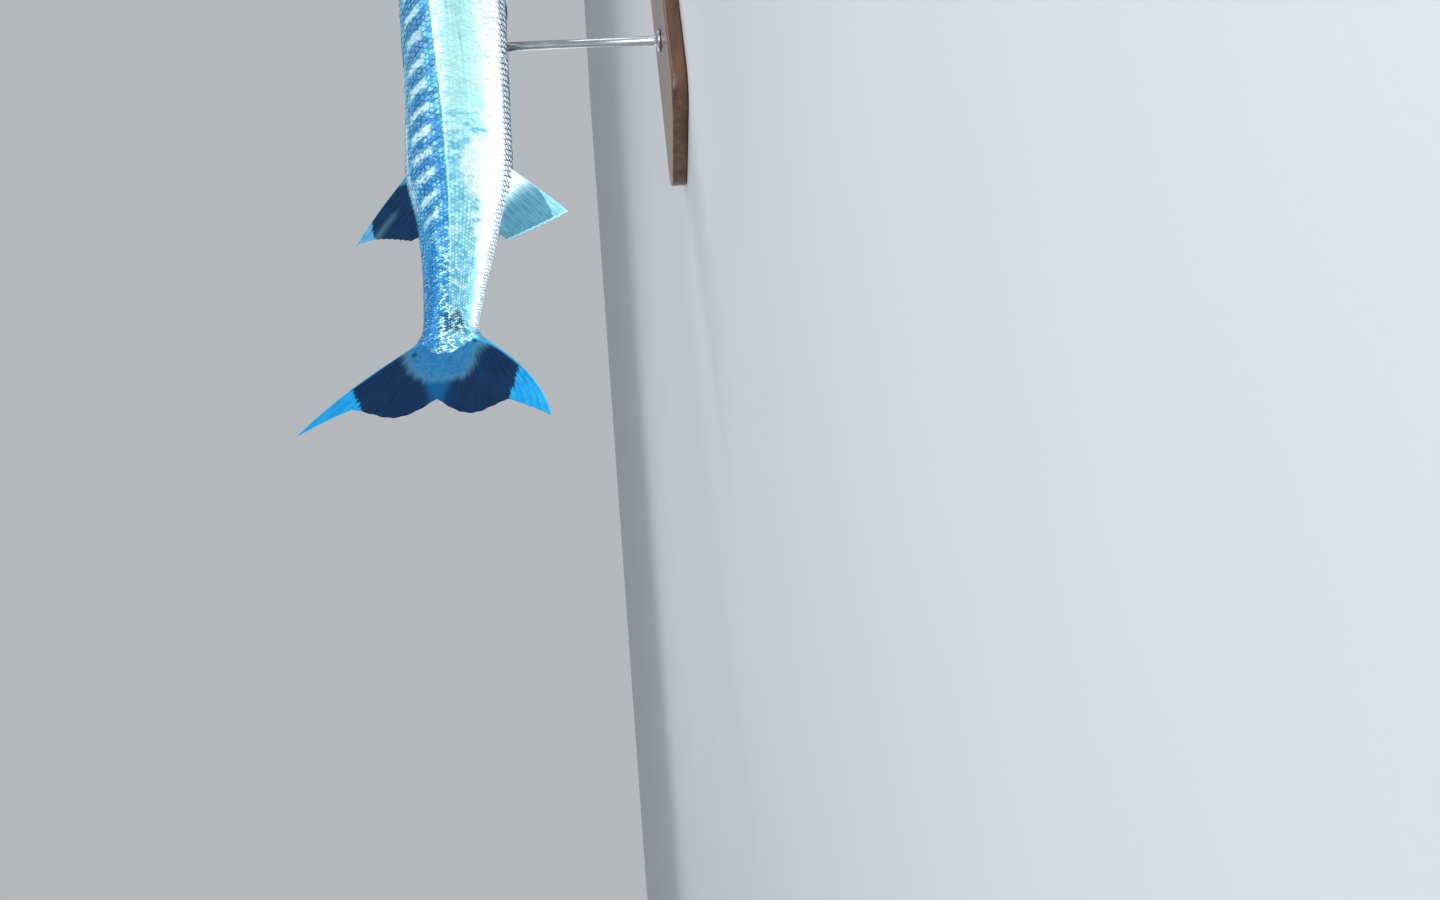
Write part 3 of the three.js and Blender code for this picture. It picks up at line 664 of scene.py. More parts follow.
# Colours from the middle of the back over the lateral line to the belly, each at half its row
FRONT_COLOURS = (
    (0.0, (60, 172, 214)), (0.1, (98, 208, 236)), (0.18, (60, 180, 222)), (0.26, (48, 158, 212)),
    (0.44, (54, 166, 218)), (0.486, (80, 184, 226)), (0.497, (226, 252, 252)),
    (0.513, (220, 250, 248)), (0.535, (192, 242, 242)), (0.66, (192, 246, 246)),
    (0.73, (214, 242, 242)), (0.77, (236, 243, 242)), (1.0, (244, 248, 246)),
)
REAR_COLOURS = (
    (0.0, (60, 170, 216)), (0.12, (50, 172, 222)), (0.3, (26, 142, 204)), (0.46, (32, 148, 208)),
    (0.494, (46, 158, 214)), (0.501, (196, 244, 249)), (0.509, (190, 242, 246)),
    (0.52, (96, 200, 230)), (0.61, (142, 230, 246)), (0.68, (172, 230, 238)),
    (0.79, (232, 243, 243)), (1.0, (244, 249, 248)),
)
STALK_COLOURS = (
    (0.0, (0, 120, 184)), (0.3, (0, 120, 192)), (0.47, (8, 138, 204)), (0.5, (84, 184, 218)),
    (0.52, (32, 152, 210)), (0.65, (68, 180, 226)), (0.78, (146, 224, 240)), (0.9, (224, 246, 248)),
    (1.0, (242, 250, 251)),
)
HEAD_COLOURS = (
    (0.0, (46, 110, 152)), (0.26, (50, 118, 160)), (0.42, (86, 156, 194)), (0.52, (154, 200, 218)),
    (0.62, (182, 216, 228)), (0.76, (202, 224, 231)), (1.0, (220, 231, 233)),
)

# Spots on the flank: place, row, half length, half width in rows, and the blotches' strength
BLOTCHES = (
    (0.725, 1.27, 0.009, 0.11, 0.6), (0.722, 1.44, 0.006, 0.06, 0.4), (0.871, 1.1, 0.008, 0.08, 0.5),
    (0.873, 1.3, 0.006, 0.07, 0.3), (0.805, 1.37, 0.007, 0.06, 0.3), (0.79, 1.2, 0.006, 0.05, 0.25),
)
WHITE_LOBE = (0.748, 1.55, 0.055, 0.42)
SPECKLES = (0.9775, 1.08, 0.018, 0.45)


def spot_square(place, row, s, r, length, width):
    """0 in the middle of a spot on the flank, 1 at its edge."""
    along = (place - s) * (1 / length)
    across = (row - r) * (1 / width)
    return along * along + across * across


def bar_wave(place, row, coarse):
    """1 in the middle of each bright bar of the upper side, -1 half-way to the next."""
    leaning = place + (row - BAR_MIDDLE) * BAR_LEAN
    beyond = (leaning - BARS_CLOSE_FROM).math("MAXIMUM", 0)
    count = leaning * BARS_PER_LENGTH + beyond * beyond * BARS_CLOSING - BRIGHT_BAR_AT
    return ((count + coarse * 0.3) * (2 * math.pi)).math("COSINE")


def paint_flank(g, place, row, coarse, fine):
    """Ground colours, lines, patches with painted highlights, bars, a strip of painted glints by the dorsal
    fin, blotches and the white lobe. Gives the share of bars.
    """
    wobble = coarse * 0.5 * row.ramp(1.1, 1.35) + fine * 0.02
    half_row = (row + wobble) * 0.5
    drift = place + coarse * 0.12
    g.colour = g.palette(half_row, FRONT_COLOURS)
    g.paint(g.palette(half_row, REAR_COLOURS), drift.ramp(0.6, 0.77))
    g.paint(g.palette(half_row, STALK_COLOURS), drift.ramp(0.84, 0.93))

    lines = g.noise_over(place * 18, row * 34, 2).ramp(0.5, 0.66, 0, 0.55)
    g.paint(FLANK_LINE, lines * row.within(1.05, 1.3, 0.06) * place.within(0.2, 0.6, 0.06))
    patches = g.noise_over(place * 85, row * 5, 3, 0.6)
    patch_reach = row.within(1.06, 1.45, 0.12) * place.ramp(0.6, 0.7)
    g.paint(FLANK_PATCH, patches.ramp(0.5, 0.62, 0, 0.85) * patch_reach)
    # Painted highlight: white glint patches among the darker ones on the rear flank
    g.paint(GLINT, patches.ramp(0.48, 0.36, 0, 0.85) * patch_reach)

    wave = bar_wave(place, row, coarse) + fine * place.ramp(0.62, 0.76, 2, 3.4)
    bar = wave.ramp(0.1, 0.95, 0, 0.97) * row.within(0.47, 0.72, 0.12) * place.within(0.3, 0.79, 0.09)
    g.paint(BRIGHT_BAR, bar)
    dark_reach = row.within(0.36, 0.88, 0.1) * place.within(0.26, 0.78, 0.1)
    g.paint(DARK_BAR, wave.ramp(0.1, -0.8, 0, 0.85) * dark_reach)
    # Painted highlight: a strip of glints beside the root of the second dorsal fin
    ridge = (row + fine * 0.2).within(0.16, 0.26, 0.06) * place.within(0.66, 0.78, 0.03)
    g.paint(GLINT, ridge * 0.85)

    for *spot, strength in BLOTCHES:
        frayed = spot_square(place, row, *spot) + fine * 3
        g.paint(BLOTCH, frayed.ramp(1.5, 0.2, 0, strength))
    lobe = spot_square(place, row, *WHITE_LOBE) + patches * 0.8
    g.paint(WHITE, lobe.ramp(1.5, 0.9, 0, 0.95))
    g.paint(THROAT, place.ramp(0.42, 0.32, 0, 0.6) * row.ramp(1.15, 1.4))
    g.paint(g.palette(half_row, HEAD_COLOURS), place.ramp(0.31, 0.2))
    return bar


def markings(g):
    """Paints the fish by place and row, the same for skin and scales."""
    place, row, gill = g.attributes("place", "row", "gill")
    coarse = g.noise(g.spot, 34, 3) - 0.5
    fine = g.noise(g.spot, 210) - 0.5
    bar = paint_flank(g, place, row, coarse, fine)

    mottle = place.ramp(0.27, 0.2) * row.ramp(0.75, 0.35)
    g.paint(HEAD_SPECK, fine.ramp(0.02, 0.16, 0, 0.5) * mottle)
    g.paint(HEAD_SHADE, coarse.ramp(0, -0.16, 0, 0.5) * mottle)
    g.paint(JAW_TIP, (place + coarse * 0.03).ramp(0.035, 0.004, 0, 0.8))
    # Painted shade in the crease along the edge of the gill cover
    gill_crease_shade = (gill + 0.0012).math("ABSOLUTE").ramp(0.0022, 0.0006, 0, 0.75)
    g.paint(GILL_SHADE, gill_crease_shade * place.within(0.24, 0.31, 0.015))
    corners = row.ramp(0.42, 0.2) + row.ramp(1.55, 1.72)
    g.paint(FIN_BASE, place.ramp(0.976, 0.992) * corners)
    return place, row, coarse, fine, bar


def make_skin_material():
    g = Graph("barracuda_skin")
    fine = markings(g)[3]
    mouth, = g.attributes("mouth")
    g.paint(srgb(120, 178, 204), fine.ramp(0, 0.25, 0, 0.14), "MULTIPLY")
    g.paint(g.mix(g.noise(g.spot, 90, 4), srgb(196, 150, 148), srgb(128, 84, 88)), mouth)
    height = g.noise(g.spot, 520, 3, 0.6) + g.stretched_noise((60, 500, 500), 3) * 0.7
    return g.finish(
        Metallic=mouth.ramp(0.1, 0.4, 0.2, 0),
        Roughness=g.noise(g.spot, 60, 3).ramp(0.3, 0.7, 0.3, 0.44),
        Normal=g.bump(height, 0.3 * MM, 0.5),
        Specular_IOR_Level=0.3,
        Coat_Weight=0.1,
        Coat_Roughness=0.15,
    )


def make_scale_material():
    """Scales bright or dull as a whole, with a pale streak along the middle that is a painted highlight, and
    small painted glints.
    """
    g = Graph("barracuda_scales")
    place, row, coarse, fine, bar = markings(g)
    shade, back, aside = g.attributes("shade", "back", "aside")
    upper = row.ramp(1, 0.96) * place.ramp(0.19, 0.3, 0.35, 1) * (1 - bar * 0.4)
    side = row.ramp(0.99, 1.04) * row.ramp(1.56, 1.36)
    below = row.ramp(1.7, 1.82) * place.ramp(0.3, 0.48, 0.12, 1) * place.ramp(0.78, 0.7, 0.5, 1)
    rear = place.ramp(0.66, 0.86)

    # Painted highlight: a pale streak along the middle of each scale, with the darker gap colour painted
    # between the streaks
    streak = (aside + fine * 0.5).math("ABSOLUTE").ramp(0.5, 0.12) * back.ramp(-0.2, 0.25)
    streak_reach = upper * 0.35 + side * 0.5
    gap_colour = g.mix(rear, srgb(126, 208, 214), srgb(66, 166, 198))
    gap_colour = g.mix(upper, gap_colour, srgb(0, 104, 164))
    g.paint(gap_colour, (1 - streak) * streak_reach * (rear * 0.5 + 0.4))
    lively = streak_reach * shade.ramp(0.1, 0.9, 0.25, 1) * (rear * 0.9 + 0.6)
    g.paint(g.mix(upper * rear, GLINT, srgb(84, 190, 240)), streak * lively)

    glitter = g.noise(g.spot, 400, 1)
    # Painted highlights: glints on the scales on both sides of the lateral line towards the tail
    near_line = row.within(0.84, 1.1, 0.2) * place.ramp(0.76, 0.9)
    g.paint(GLINT, near_line * shade.ramp(0.5, 0.9, 0, 0.7) * glitter.ramp(0.36, 0.5))
    # Painted highlights: small glints where the fine noise is high, with dark specks of the gap colour where
    # it is low
    spark_reach = upper * row.ramp(0.5, 0.2, 0.6, 1) + side * 0.3
    g.paint(GLINT, glitter.ramp(0.57, 0.72) * spark_reach)
    g.paint(gap_colour, glitter.ramp(0.44, 0.3) * spark_reach)
    dull_reach = upper * 0.5 + below * 0.6 + side * (rear * 0.4 + 0.12)
    g.paint(g.mix(upper, srgb(60, 146, 166), DULL_SCALE), shade.ramp(0.45, 0.02) * dull_reach)

    rim = (back * back + aside * aside).math("SQRT")
    belly_side = row.ramp(1.44, 1.56) * shade.ramp(0.8, 0.2)
    rim_reach = (upper * 0.2 + below + belly_side * 0.35).math("MINIMUM", 1)
    rim_colour = g.mix(upper, srgb(0, 82, 112), srgb(10, 92, 148))
    g.paint(rim_colour, rim.ramp(0.56, 0.86) * rim_reach)

    g.paint(FIN_BASE, place.ramp(0.998, 1.012) * shade.ramp(0.9, 0.5))
    # Painted highlights: white glints on the scales just in front of the root of the tail fin
    silver = place.within(0.986, 1, 0.012) * row.within(0.86, 1.5, 0.2) * glitter.ramp(0.38, 0.52)
    g.paint(GLINT, silver * shade.ramp(0.35, 0.55, 0, 0.9))
    speckled = (spot_square(place, row, *SPECKLES) + coarse * 2).ramp(1.3, 0.3)
    g.paint(SPECKLE, speckled * shade.ramp(0.65, 0.45) * rim.ramp(0.3, 0.65, 0.15, 0.9))

    rings = (rim * 24 + fine * 9).math("SINE") * place.ramp(0.3, 0.36, 0.05, 0.3)
    spokes = (aside * 22).math("SINE")
    return g.finish(
        Metallic=shade.ramp(0, 1, 0.2, 0.45),
        Roughness=shade.ramp(0, 1, 0.38, 0.26),
        Normal=g.bump(rings + spokes * 0.25 + glitter, 0.06 * MM, 0.45),
        Specular_IOR_Level=0.15,
        Coat_Weight=0.06,
        Coat_Roughness=0.12,
    )


# Tones of the fins: two of the blade, the streak in its middle and the rays, then two of the
# pale margin, two of the fleshy base and the base's edge. Shares of the rays, reach of the base.
FIN_TONES = {
    "fin_dark_skin": (
        (0, 38, 70), (0, 52, 90), (66, 112, 130), (14, 58, 92), (44, 128, 180), (104, 180, 214),
        (60, 132, 166), (88, 154, 182), (40, 108, 148), 0.12, 0.003,
    ),
    "fin_folded_skin": (
        (40, 132, 180), (76, 172, 208), (60, 154, 196), (120, 200, 224), (120, 188, 214),
        (170, 214, 230), (66, 140, 176), (90, 162, 190), (54, 126, 164), 0.45, 0.003,
    ),
    "tail_fin_skin": (
        (0, 32, 64), (2, 44, 80), (0, 86, 138), (14, 50, 80), (0, 124, 190), (34, 164, 222),
        (34, 104, 154), (46, 116, 166), (86, 146, 166), 0.05, 0.009,
    ),
    "fin_pale_skin": (
        (60, 112, 136), (82, 138, 162), (82, 138, 162), (112, 168, 180), (84, 160, 192),
        (150, 210, 228), (216, 250, 253), (248, 255, 255), (138, 206, 222), 0.25, 0.014,
    ),
}
FIN_MARKS = ("middle", "base", "pale", "front", "dot")


def make_fin_material(name):
    """Fin of one tone with rays, a paler margin and a fleshy base, which meet along the rays."""
    g = Graph(name)
    *tones, ray_share, base_edge = FIN_TONES[name]
    low, high, inner, ray, pale, pale_high, flesh_low, flesh_high, flesh_edge = (srgb(*t) for t in tones)
    across, along, ridge = g.attributes("across", "along", "ridge")
    middle, base, margin, front, dot = g.attributes(*FIN_MARKS)
    streaks = g.noise_over(across * 90, along * 3, 3)
    tone = streaks * 0.6 + g.noise(g.spot, 70, 3) * 0.4
    ragged = streaks - 0.5

    g.colour = g.mix(tone.ramp(0.35, 0.65), low, high)
    g.paint(ray, ridge * ray_share)
    g.paint(inner, (middle + ragged * 0.004).ramp(-0.008, 0.005, 0, 0.9))
    depth = base + ragged * (2 * base_edge)
    fleshy = g.mix(g.noise(g.spot, 260).ramp(0.35, 0.65), flesh_low, flesh_high)
    fleshy = g.mix(depth.ramp(0.008, 0, 0, 0.7), fleshy, flesh_edge)
    g.paint(fleshy, depth.ramp(-base_edge, base_edge))
    clear = g.mix(tone.ramp(0.3, 0.7), pale, pale_high)
    clear = g.mix(ridge * 0.3, clear, pale_high)
    g.paint(clear, (margin + ragged * 0.014).ramp(-0.0009, 0.0009))
    g.paint(pale_high, (front + ragged * 0.0008).ramp(-0.0006, 0.0006, 0, 0.75))
    g.paint(SPECKLE, dot.ramp(-0.0004, 0.0008, 0, 0.85))

    joints = (along * 210).math("SINE") * ridge * 0.4
    return g.finish(
        Roughness=tone.ramp(0.3, 0.7, 0.5, 0.64),
        Normal=g.bump(joints + streaks, 0.12 * MM, 0.4),
        Specular_IOR_Level=0.1,
    )


def make_eye_material():
    g = Graph("barracuda_eye")
    radial, turn, lift = g.attributes("radial", "turn", "lift")
    streaks = g.noise_over(turn * 22, radial * 5, 4)
    g.colour = g.mix(streaks.ramp(0.3, 0.7), srgb(190, 206, 204), srgb(116, 140, 146))
    g.paint(srgb(54, 88, 108), lift.ramp(0.1, 0.9))
    g.paint(srgb(214, 200, 140), radial.ramp(0.56, 0.49))
    g.paint(srgb(34, 46, 54), radial.ramp(0.86, 0.97))
    g.paint(srgb(5, 8, 12), radial.ramp(0.47, 0.44))
    return g.finish(
        Metallic=radial.ramp(0.44, 0.52, 0, 0.35),
        Roughness=streaks.ramp(0.3, 0.7, 0.2, 0.32),
        Normal=g.bump(g.noise(g.spot, 900), 0.04 * MM, 0.3),
        Coat_Weight=1,
        Coat_Roughness=0.02,
    )


def make_tooth_material():
    g = Graph("barracuda_teeth")
    stain = g.stretched_noise((260, 260, 60), 3)
    g.colour = g.mix(stain.ramp(0.35, 0.7), srgb(232, 230, 216), srgb(196, 190, 168))
    return g.finish(
        Roughness=stain.ramp(0.3, 0.7, 0.18, 0.32),
        Normal=g.bump(stain, 0.1 * MM, 0.4),
        Coat_Weight=0.5,
        Coat_Roughness=0.08,
    )


def make_wood_material():
    g = Graph("stand_wood")
    bent = g.mix(0.06, g.spot, g.noise(g.spot, 3, 3), "ADD")
    grain = g.stretched_noise((3, 46, 46), 6, 0.65, bent)
    pores = g.stretched_noise((30, 900, 900), 2)
    g.colour = g.palette(grain, (
        (0.3, (58, 36, 22)), (0.48, (92, 58, 36)), (0.58, (112, 74, 46)), (0.75, (70, 44, 28)),
    ))
    g.paint(srgb(36, 22, 14), pores.ramp(0.62, 0.75, 0, 0.5))
    return g.finish(
        Roughness=grain.ramp(0.3, 0.7, 0.28, 0.42),
        Normal=g.bump(grain - pores * 0.6, 0.25 * MM, 0.5),
        Coat_Weight=0.3,
        Coat_Roughness=0.18,
    )


def make_steel_material():
    g = Graph("stand_steel")
    brushed = g.stretched_noise((1400, 1400, 14), 3)
    smear = g.noise(g.spot, 24, 3)
    g.colour = g.mix(smear.ramp(0.3, 0.7), srgb(196, 199, 202), srgb(172, 176, 180))
    return g.finish(
        Metallic=1,
        Roughness=brushed.ramp(0.3, 0.7, 0.22, 0.36),
        Normal=g.bump(brushed, 0.05 * MM, 0.4),
    )


def make_floor_material():
    g = Graph("studio_floor")
    g.colour = g.mix(g.noise(g.spot, 3), srgb(188, 192, 196), srgb(195, 198, 202))
    return g.finish(Roughness=0.9, Normal=g.bump(g.noise(g.spot, 220, 3), 0.4 * MM, 0.2))


# Skin

NOSE_RINGS = 16
HEAD_RINGS = 240
BODY_RINGS = 160
HEAD_RINGS_END = 0.31
UPPER_COLUMNS = 66
LOWER_COLUMNS = 44
MOUTH_COLUMNS = 20


def skin_places():
    nose = NOSE_ROUND * (1 - np.cos(np.linspace(0, math.pi / 2, NOSE_RINGS + 1)))[:-1]
    head = np.linspace(NOSE_ROUND, HEAD_RINGS_END, HEAD_RINGS + 1)
    head[np.argmin(np.abs(head - MOUTH_CORNER[0]))] = MOUTH_CORNER[0]
    body = np.linspace(HEAD_RINGS_END, 1, BODY_RINGS + 1)[1:]
    return np.concatenate([nose, head, body])


def seam_height(s, front):
    """Height of the lip, carried on behind the mouth as the line where the two grids meet."""
    behind = MOUTH_CORNER[1] + (widest_at(s) - MOUTH_CORNER[1]) * smooth(0.122, 0.26, s)
    return np.where(s < MOUTH_CORNER[0], lip_height(s, front), behind)


def skin_grid(places, is_jaw):
    """Points and rows from the right lip over the back, or under the chin, to the left one."""
    front = LOWER_LIP_FRONT if is_jaw else UPPER_LIP_FRONT
    columns = LOWER_COLUMNS if is_jaw else UPPER_COLUMNS
    angles, rows = [], []
    for s in np.maximum(places, 1e-5):
        row, arc = rows_of_ring(s, is_jaw)
        _, heights = section(np.full(HALF_TURN.shape, s), HALF_TURN, is_jaw)
        seam = np.interp(-seam_height(s, front), -heights, arc)
        wanted = np.linspace(arc[-1] if is_jaw else 0, seam, columns + 1)
        angles.append(np.interp(wanted, arc, HALF_TURN))
        rows.append(np.interp(wanted, arc, row))
    angles, rows = np.array(angles), np.array(rows)
    s = np.repeat(places[:, None], columns + 1, 1)
    right, left = (on_skin(s, angles, side, is_jaw) for side in (-1, 1))
    return np.concatenate([right[:, ::-1], left[:, 1:]], 1), np.concatenate([rows[:, ::-1], rows[:, 1:]], 1)


def lining_depth(half, across):
    """How far the lining of the mouth lies from the line between the lips, from -1 to 1 across."""
    return min(0.42 * half, 0.011) * np.clip(1 - np.abs(across) ** 3, 0, 1)


def mouth_lining(places, upper, lower):
    """Palate and floor of the mouth, which meet behind its corners in a blind pocket."""
    count = int(np.argmin(np.abs(places - MOUTH_END))) + 1
    corner = int(np.argmin(np.abs(places - MOUTH_CORNER[0])))
    t = np.linspace(-1, 1, MOUTH_COLUMNS + 1)
    sheets = []
    for grid, way in ((upper, 1), (lower, -1)):
        sheet = []
        for i in range(count):
            right, left, share = grid[i, 0], grid[i, -1], 1
            if i > corner:
                beyond = (i - corner) / (count - 1 - corner)
                share = math.sqrt(max(1 - beyond**2, 0))
                middle = (upper[i, 0, 0], 0, AXIS_HEIGHT + (MOUTH_CORNER[1] - 0.004 * beyond) * LENGTH)
                reach = np.array([0, 0.9 * upper[corner, -1, 1] * share, 0])
                right, left = middle - reach, middle + reach
            line = right + (left - right) * ((t + 1) / 2)[:, None]
            line[:, 2] += way * share * lining_depth((left[1] - right[1]) / 2, t)
            sheet.append(line)
        sheets.append(np.array(sheet))
    return sheets


def make_skin(material):
    places = skin_places()
    upper, upper_rows = skin_grid(places, False)
    lower, lower_rows = skin_grid(places, True)
    behind = places >= MOUTH_CORNER[0] - 1e-9
    for lip in (0, -1):
        lower[behind, lip] = upper[behind, lip]
    palate, floor = mouth_lining(places, upper, lower)
    lip_rows = [np.broadcast_to(rows[:len(floor), :1], floor.shape[:2]) for rows in (upper_rows, lower_rows)]
    points, faces, values = [], [], []
    start = 0
    for grid, rows, is_mouth, flip in (
        (upper, upper_rows, False, False),
        (lower, lower_rows, False, True),
        (palate, lip_rows[0], True, True),
        (floor, lip_rows[1], True, False),
    ):
        s = np.repeat(places[:len(grid), None], grid.shape[1], 1)
        mouth = np.full(s.shape, float(is_mouth))
        mouth[:, [0, -1]] = 0
        gill = np.ones(s.shape) if is_mouth else depth_inside(s, height_of(grid), GILL_OUTLINE)
        points.append(grid.reshape(-1, 3))
        faces += grid_faces(*s.shape, start, flip)
        values.append(np.stack([s, rows, mouth, gill]).reshape(4, -1))
        start += s.size
    upper_end = np.arange(upper_rows.size)[-upper_rows.shape[1]:]
    lower_end = upper_rows.size + np.arange(lower_rows.size)[-2:-lower_rows.shape[1]:-1]
    faces.append([*upper_end.tolist(), *lower_end.tolist()])
    place, row, mouth, gill = np.concatenate(values, 1)
    make_piece(
        "barracuda_skin_piece", swung(np.concatenate(points)), faces, material, "skin",
        ("head", "lower_jaw", "gill_cover_left", "gill_cover_right",
         "torso_front", "torso_middle", "torso_rear", "tail_stalk"),
        weld=0.02 * MM, place=place, row=row, mouth=mouth, gill=gill,
    )


# Scales

ROWS_ABOVE = 12
ROWS_BELOW = 16
SCALE_SIDES = 10
SCALES_START = 0.182
SCALES_END = 1.0
PITCH_FACTOR = 1.42
HEAD_PITCH = 0.0052
BARE_AROUND_EYE = 0.029
BAKE_PATCH = 0.0015


def pitch_at(s):
    """Distance between scales along a row: by the girth on the body, small on the head."""
    girth = np.interp(s, TABLE_PLACES, AROUND_TABLE)
    body = PITCH_FACTOR * girth / (ROWS_ABOVE + ROWS_BELOW) / LENGTH
    return HEAD_PITCH + (body - HEAD_PITCH) * smooth(0.27, 0.33, s)


def scale_roots(side):
    """Place and row of every scale of one side. The middle rows belong to the left."""
    columns = [SCALES_START]
    while columns[-1] < SCALES_END:
        columns.append(columns[-1] + float(pitch_at(columns[-1])))
    columns = np.array(columns)
    left_out = 0 if side > 0 else 1
    roots = []
    for k in range(left_out - ROWS_ABOVE, ROWS_BELOW - left_out + 1):
        row = 1 + k / (ROWS_ABOVE if k < 0 else ROWS_BELOW)
        places = columns + 0.5 * (k % 2) * pitch_at(columns)
        roots.append(np.stack([places, np.full(places.shape, row)], 1))
    return np.concatenate(roots)


def kept_scales(roots, side):
    """Leaves out the snout, throat, eye and the slit of the gills."""
    s, row = roots.T
    angle = angle_of_row(s, row)
    _, z = section(s, angle)
    gill = depth_inside(s, z, GILL_OUTLINE)
    bare = scaled_share(s, z, row) <= 0.5
    bare |= (gill > -3.2 * MM) & (gill < 1.6 * MM) & (s > 0.222)
    bare |= distance_to_line(s, z, CHEEK_EDGE) < 3 * MM
    bare |= np.linalg.norm(flesh(s, angle, side) - eye_frame(side)[0], axis=1) <= BARE_AROUND_EYE
    bare |= s > silver_end(z) - 0.004
    return roots[~bare & (s < SCALES_END)]


def scale_shape():
    """One scale seen from above: centre, inner ring, edge, lower edge and centre of its underside."""
    n = SCALE_SIDES
    turns = full_turn(n)
    ring = np.stack([np.cos(turns), np.sin(turns)], 1)
    outline = np.concatenate([[[0, 0]], 0.62 * ring, ring, ring, [[0, 0]]])
    k = np.arange(n)
    inner, edge, under = 1 + k, 1 + n + k, 1 + 2 * n + k
    inner_next, edge_next, under_next = (np.roll(one, -1) for one in (inner, edge, under))
    faces = np.concatenate([np.stack(corners, 1) for corners in (
        (0 * k, inner, inner_next),
        (inner, edge, edge_next),
        (inner, edge_next, inner_next),
        (edge, under, under_next),
        (edge, under_next, edge_next),
        (0 * k + 1 + 3 * n, under_next, under),
    )])
    return outline, faces, np.repeat(range(5), [1, n, n, n, 1])


SCALE_OUTLINE, SCALE_FACES, SCALE_RING = scale_shape()
SCALE_SIZE = len(SCALE_OUTLINE)
SCALE_EDGE = SCALE_RING == 2
SCALE_LOW_EDGE = SCALE_RING == 3
SCALE_UNDER = SCALE_RING >= 3
ALONG_SCALE, ACROSS_SCALE = SCALE_OUTLINE.T


def scale_faces(count, side, start=0):
    """Triangles of many scales, turned outwards on either side of the fish."""
    faces = (start + np.arange(count)[:, None, None] * SCALE_SIZE + SCALE_FACES).reshape(-1, 3)
    return (faces if side > 0 else faces[:, ::-1]).tolist()


def mark_sharp_edges(mesh):
    """Keeps the thin edge of each scale crisp."""
    pairs = np.empty(len(mesh.edges) * 2, int)
    mesh.edges.foreach_get("vertices", pairs)
    a, b = pairs[::2] % SCALE_SIZE, pairs[1::2] % SCALE_SIZE
    sharp = (SCALE_EDGE[a] & SCALE_EDGE[b]) | (SCALE_LOW_EDGE[a] & SCALE_LOW_EDGE[b])
    attribute = mesh.attributes.new("sharp_edge", "BOOLEAN", "EDGE")
    attribute.data.foreach_set("value", sharp)


def add_bake_map(mesh, u, v):
    """Small patch for each scale, round its own place on the map."""
    layer = mesh.uv_layers.new(name="OFBake")
    corners = np.empty(len(mesh.loops), int)
    mesh.loops.foreach_get("vertex_index", corners)
    uv = np.stack([u + BAKE_PATCH * ALONG_SCALE, v + BAKE_PATCH * ACROSS_SCALE], -1).reshape(-1, 2)
    layer.data.foreach_set("uv", uv[corners].astype(np.float32).ravel())


def make_scales(name, side, material):
    roots = kept_scales(scale_roots(side), side)
    count = len(roots)
    root_s, root_row = roots[:, :1], roots[:, 1:]
    a, b = ALONG_SCALE, ACROSS_SCALE
    pitch = pitch_at(root_s)
    row_step = np.where(root_row < 1, 1 / ROWS_ABOVE, 1 / ROWS_BELOW)
    turn = rng.normal(0, 0.05, (count, 1))
    s = root_s + pitch * (0.92 * (a - turn * b) - 0.22)
    row = root_row + row_step * 1.12 * (b + turn * a)
    mirrored = np.where((row < 0) | (row > 2), -side, side)
    row = np.where(row < 0, -row, np.where(row > 2, 4 - row, row))
    angle = angle_of_row(s, row)
    slope = rng.normal(1, 0.22, (count, 1))
    roll = rng.normal(0, 0.14, (count, 1))
    tilt = (a + 0.5) * 0.62 * slope + roll * b
    dome = 0.24 * (1 - b**2) + 0.1 * (1 - a**2)
    on_line = np.abs(root_row - 1) < 1e-6
    tube = np.where(on_line, 0.55 * np.exp(-((b / 0.3) ** 2)) * (a > -0.9), 0)
    size = np.clip(pitch * LENGTH / 0.01, 0.45, 1.1)
    lift = (tilt + dome + tube - 0.34 * SCALE_UNDER) * MM * size
    shade = rng.uniform(0, 1, (count, 1))
    gill = np.where(s < 0.33, depth_inside(s, section(s, angle)[1], GILL_OUTLINE), -1)
    piece = make_piece(
        name, swung(on_skin(s, angle, mirrored, False, lift)), scale_faces(count, side), material, "skin",
        place=s, row=row, shade=shade + 0 * s, back=a + 0 * s, aside=b + 0 * s, gill=gill,
    )
    mark_sharp_edges(piece.data)
    add_bake_map(piece.data, 0.02 + 0.96 * root_s, 0.02 + 0.48 * root_row)


# Fins

ACROSS = (0, 1, 0)
ROOT_SUNK = 0.004
POINTS_PER_RAY = 12
FIRST_SPLIT = 0.42
SECOND_SPLIT = 0.72
MARGIN_THICKNESS = 0.25


def ray_ridges(v, u, rays):
    """Height of the rays over the membrane, 0 to 1. Each ray branches twice towards the margin."""
    gap = 1 / (rays - 1)
    from_ray = v - np.round(v / gap) * gap
    first = smooth(FIRST_SPLIT - 0.12, FIRST_SPLIT + 0.3, u) * 0.24 * gap
    second = smooth(SECOND_SPLIT - 0.1, SECOND_SPLIT + 0.25, u) * 0.115 * gap
    width = (0.2 - 0.13 * u) * gap
    branches = [from_ray - a * first - b * second for a in (-1, 1) for b in (-1, 1)]
    return np.exp(-((np.min(np.abs(branches), axis=0) / width) ** 2))


def fin_thickness(u, ridge, root, ray, membrane, sheath):
    """Half thickness in metres: a fleshy root, then rays and membrane that thin out."""
    thin = (membrane + (ray - membrane) * ridge) * (1 - u) + MARGIN_THICKNESS * (0.9 + 0.3 * ridge) * u
    fade = np.clip(1 - u / sheath, 0, 1) ** 1.5
    return (thin + (root - thin) * fade) * MM


def nowhere(v, u):
    return np.full(v.shape, -0.02)


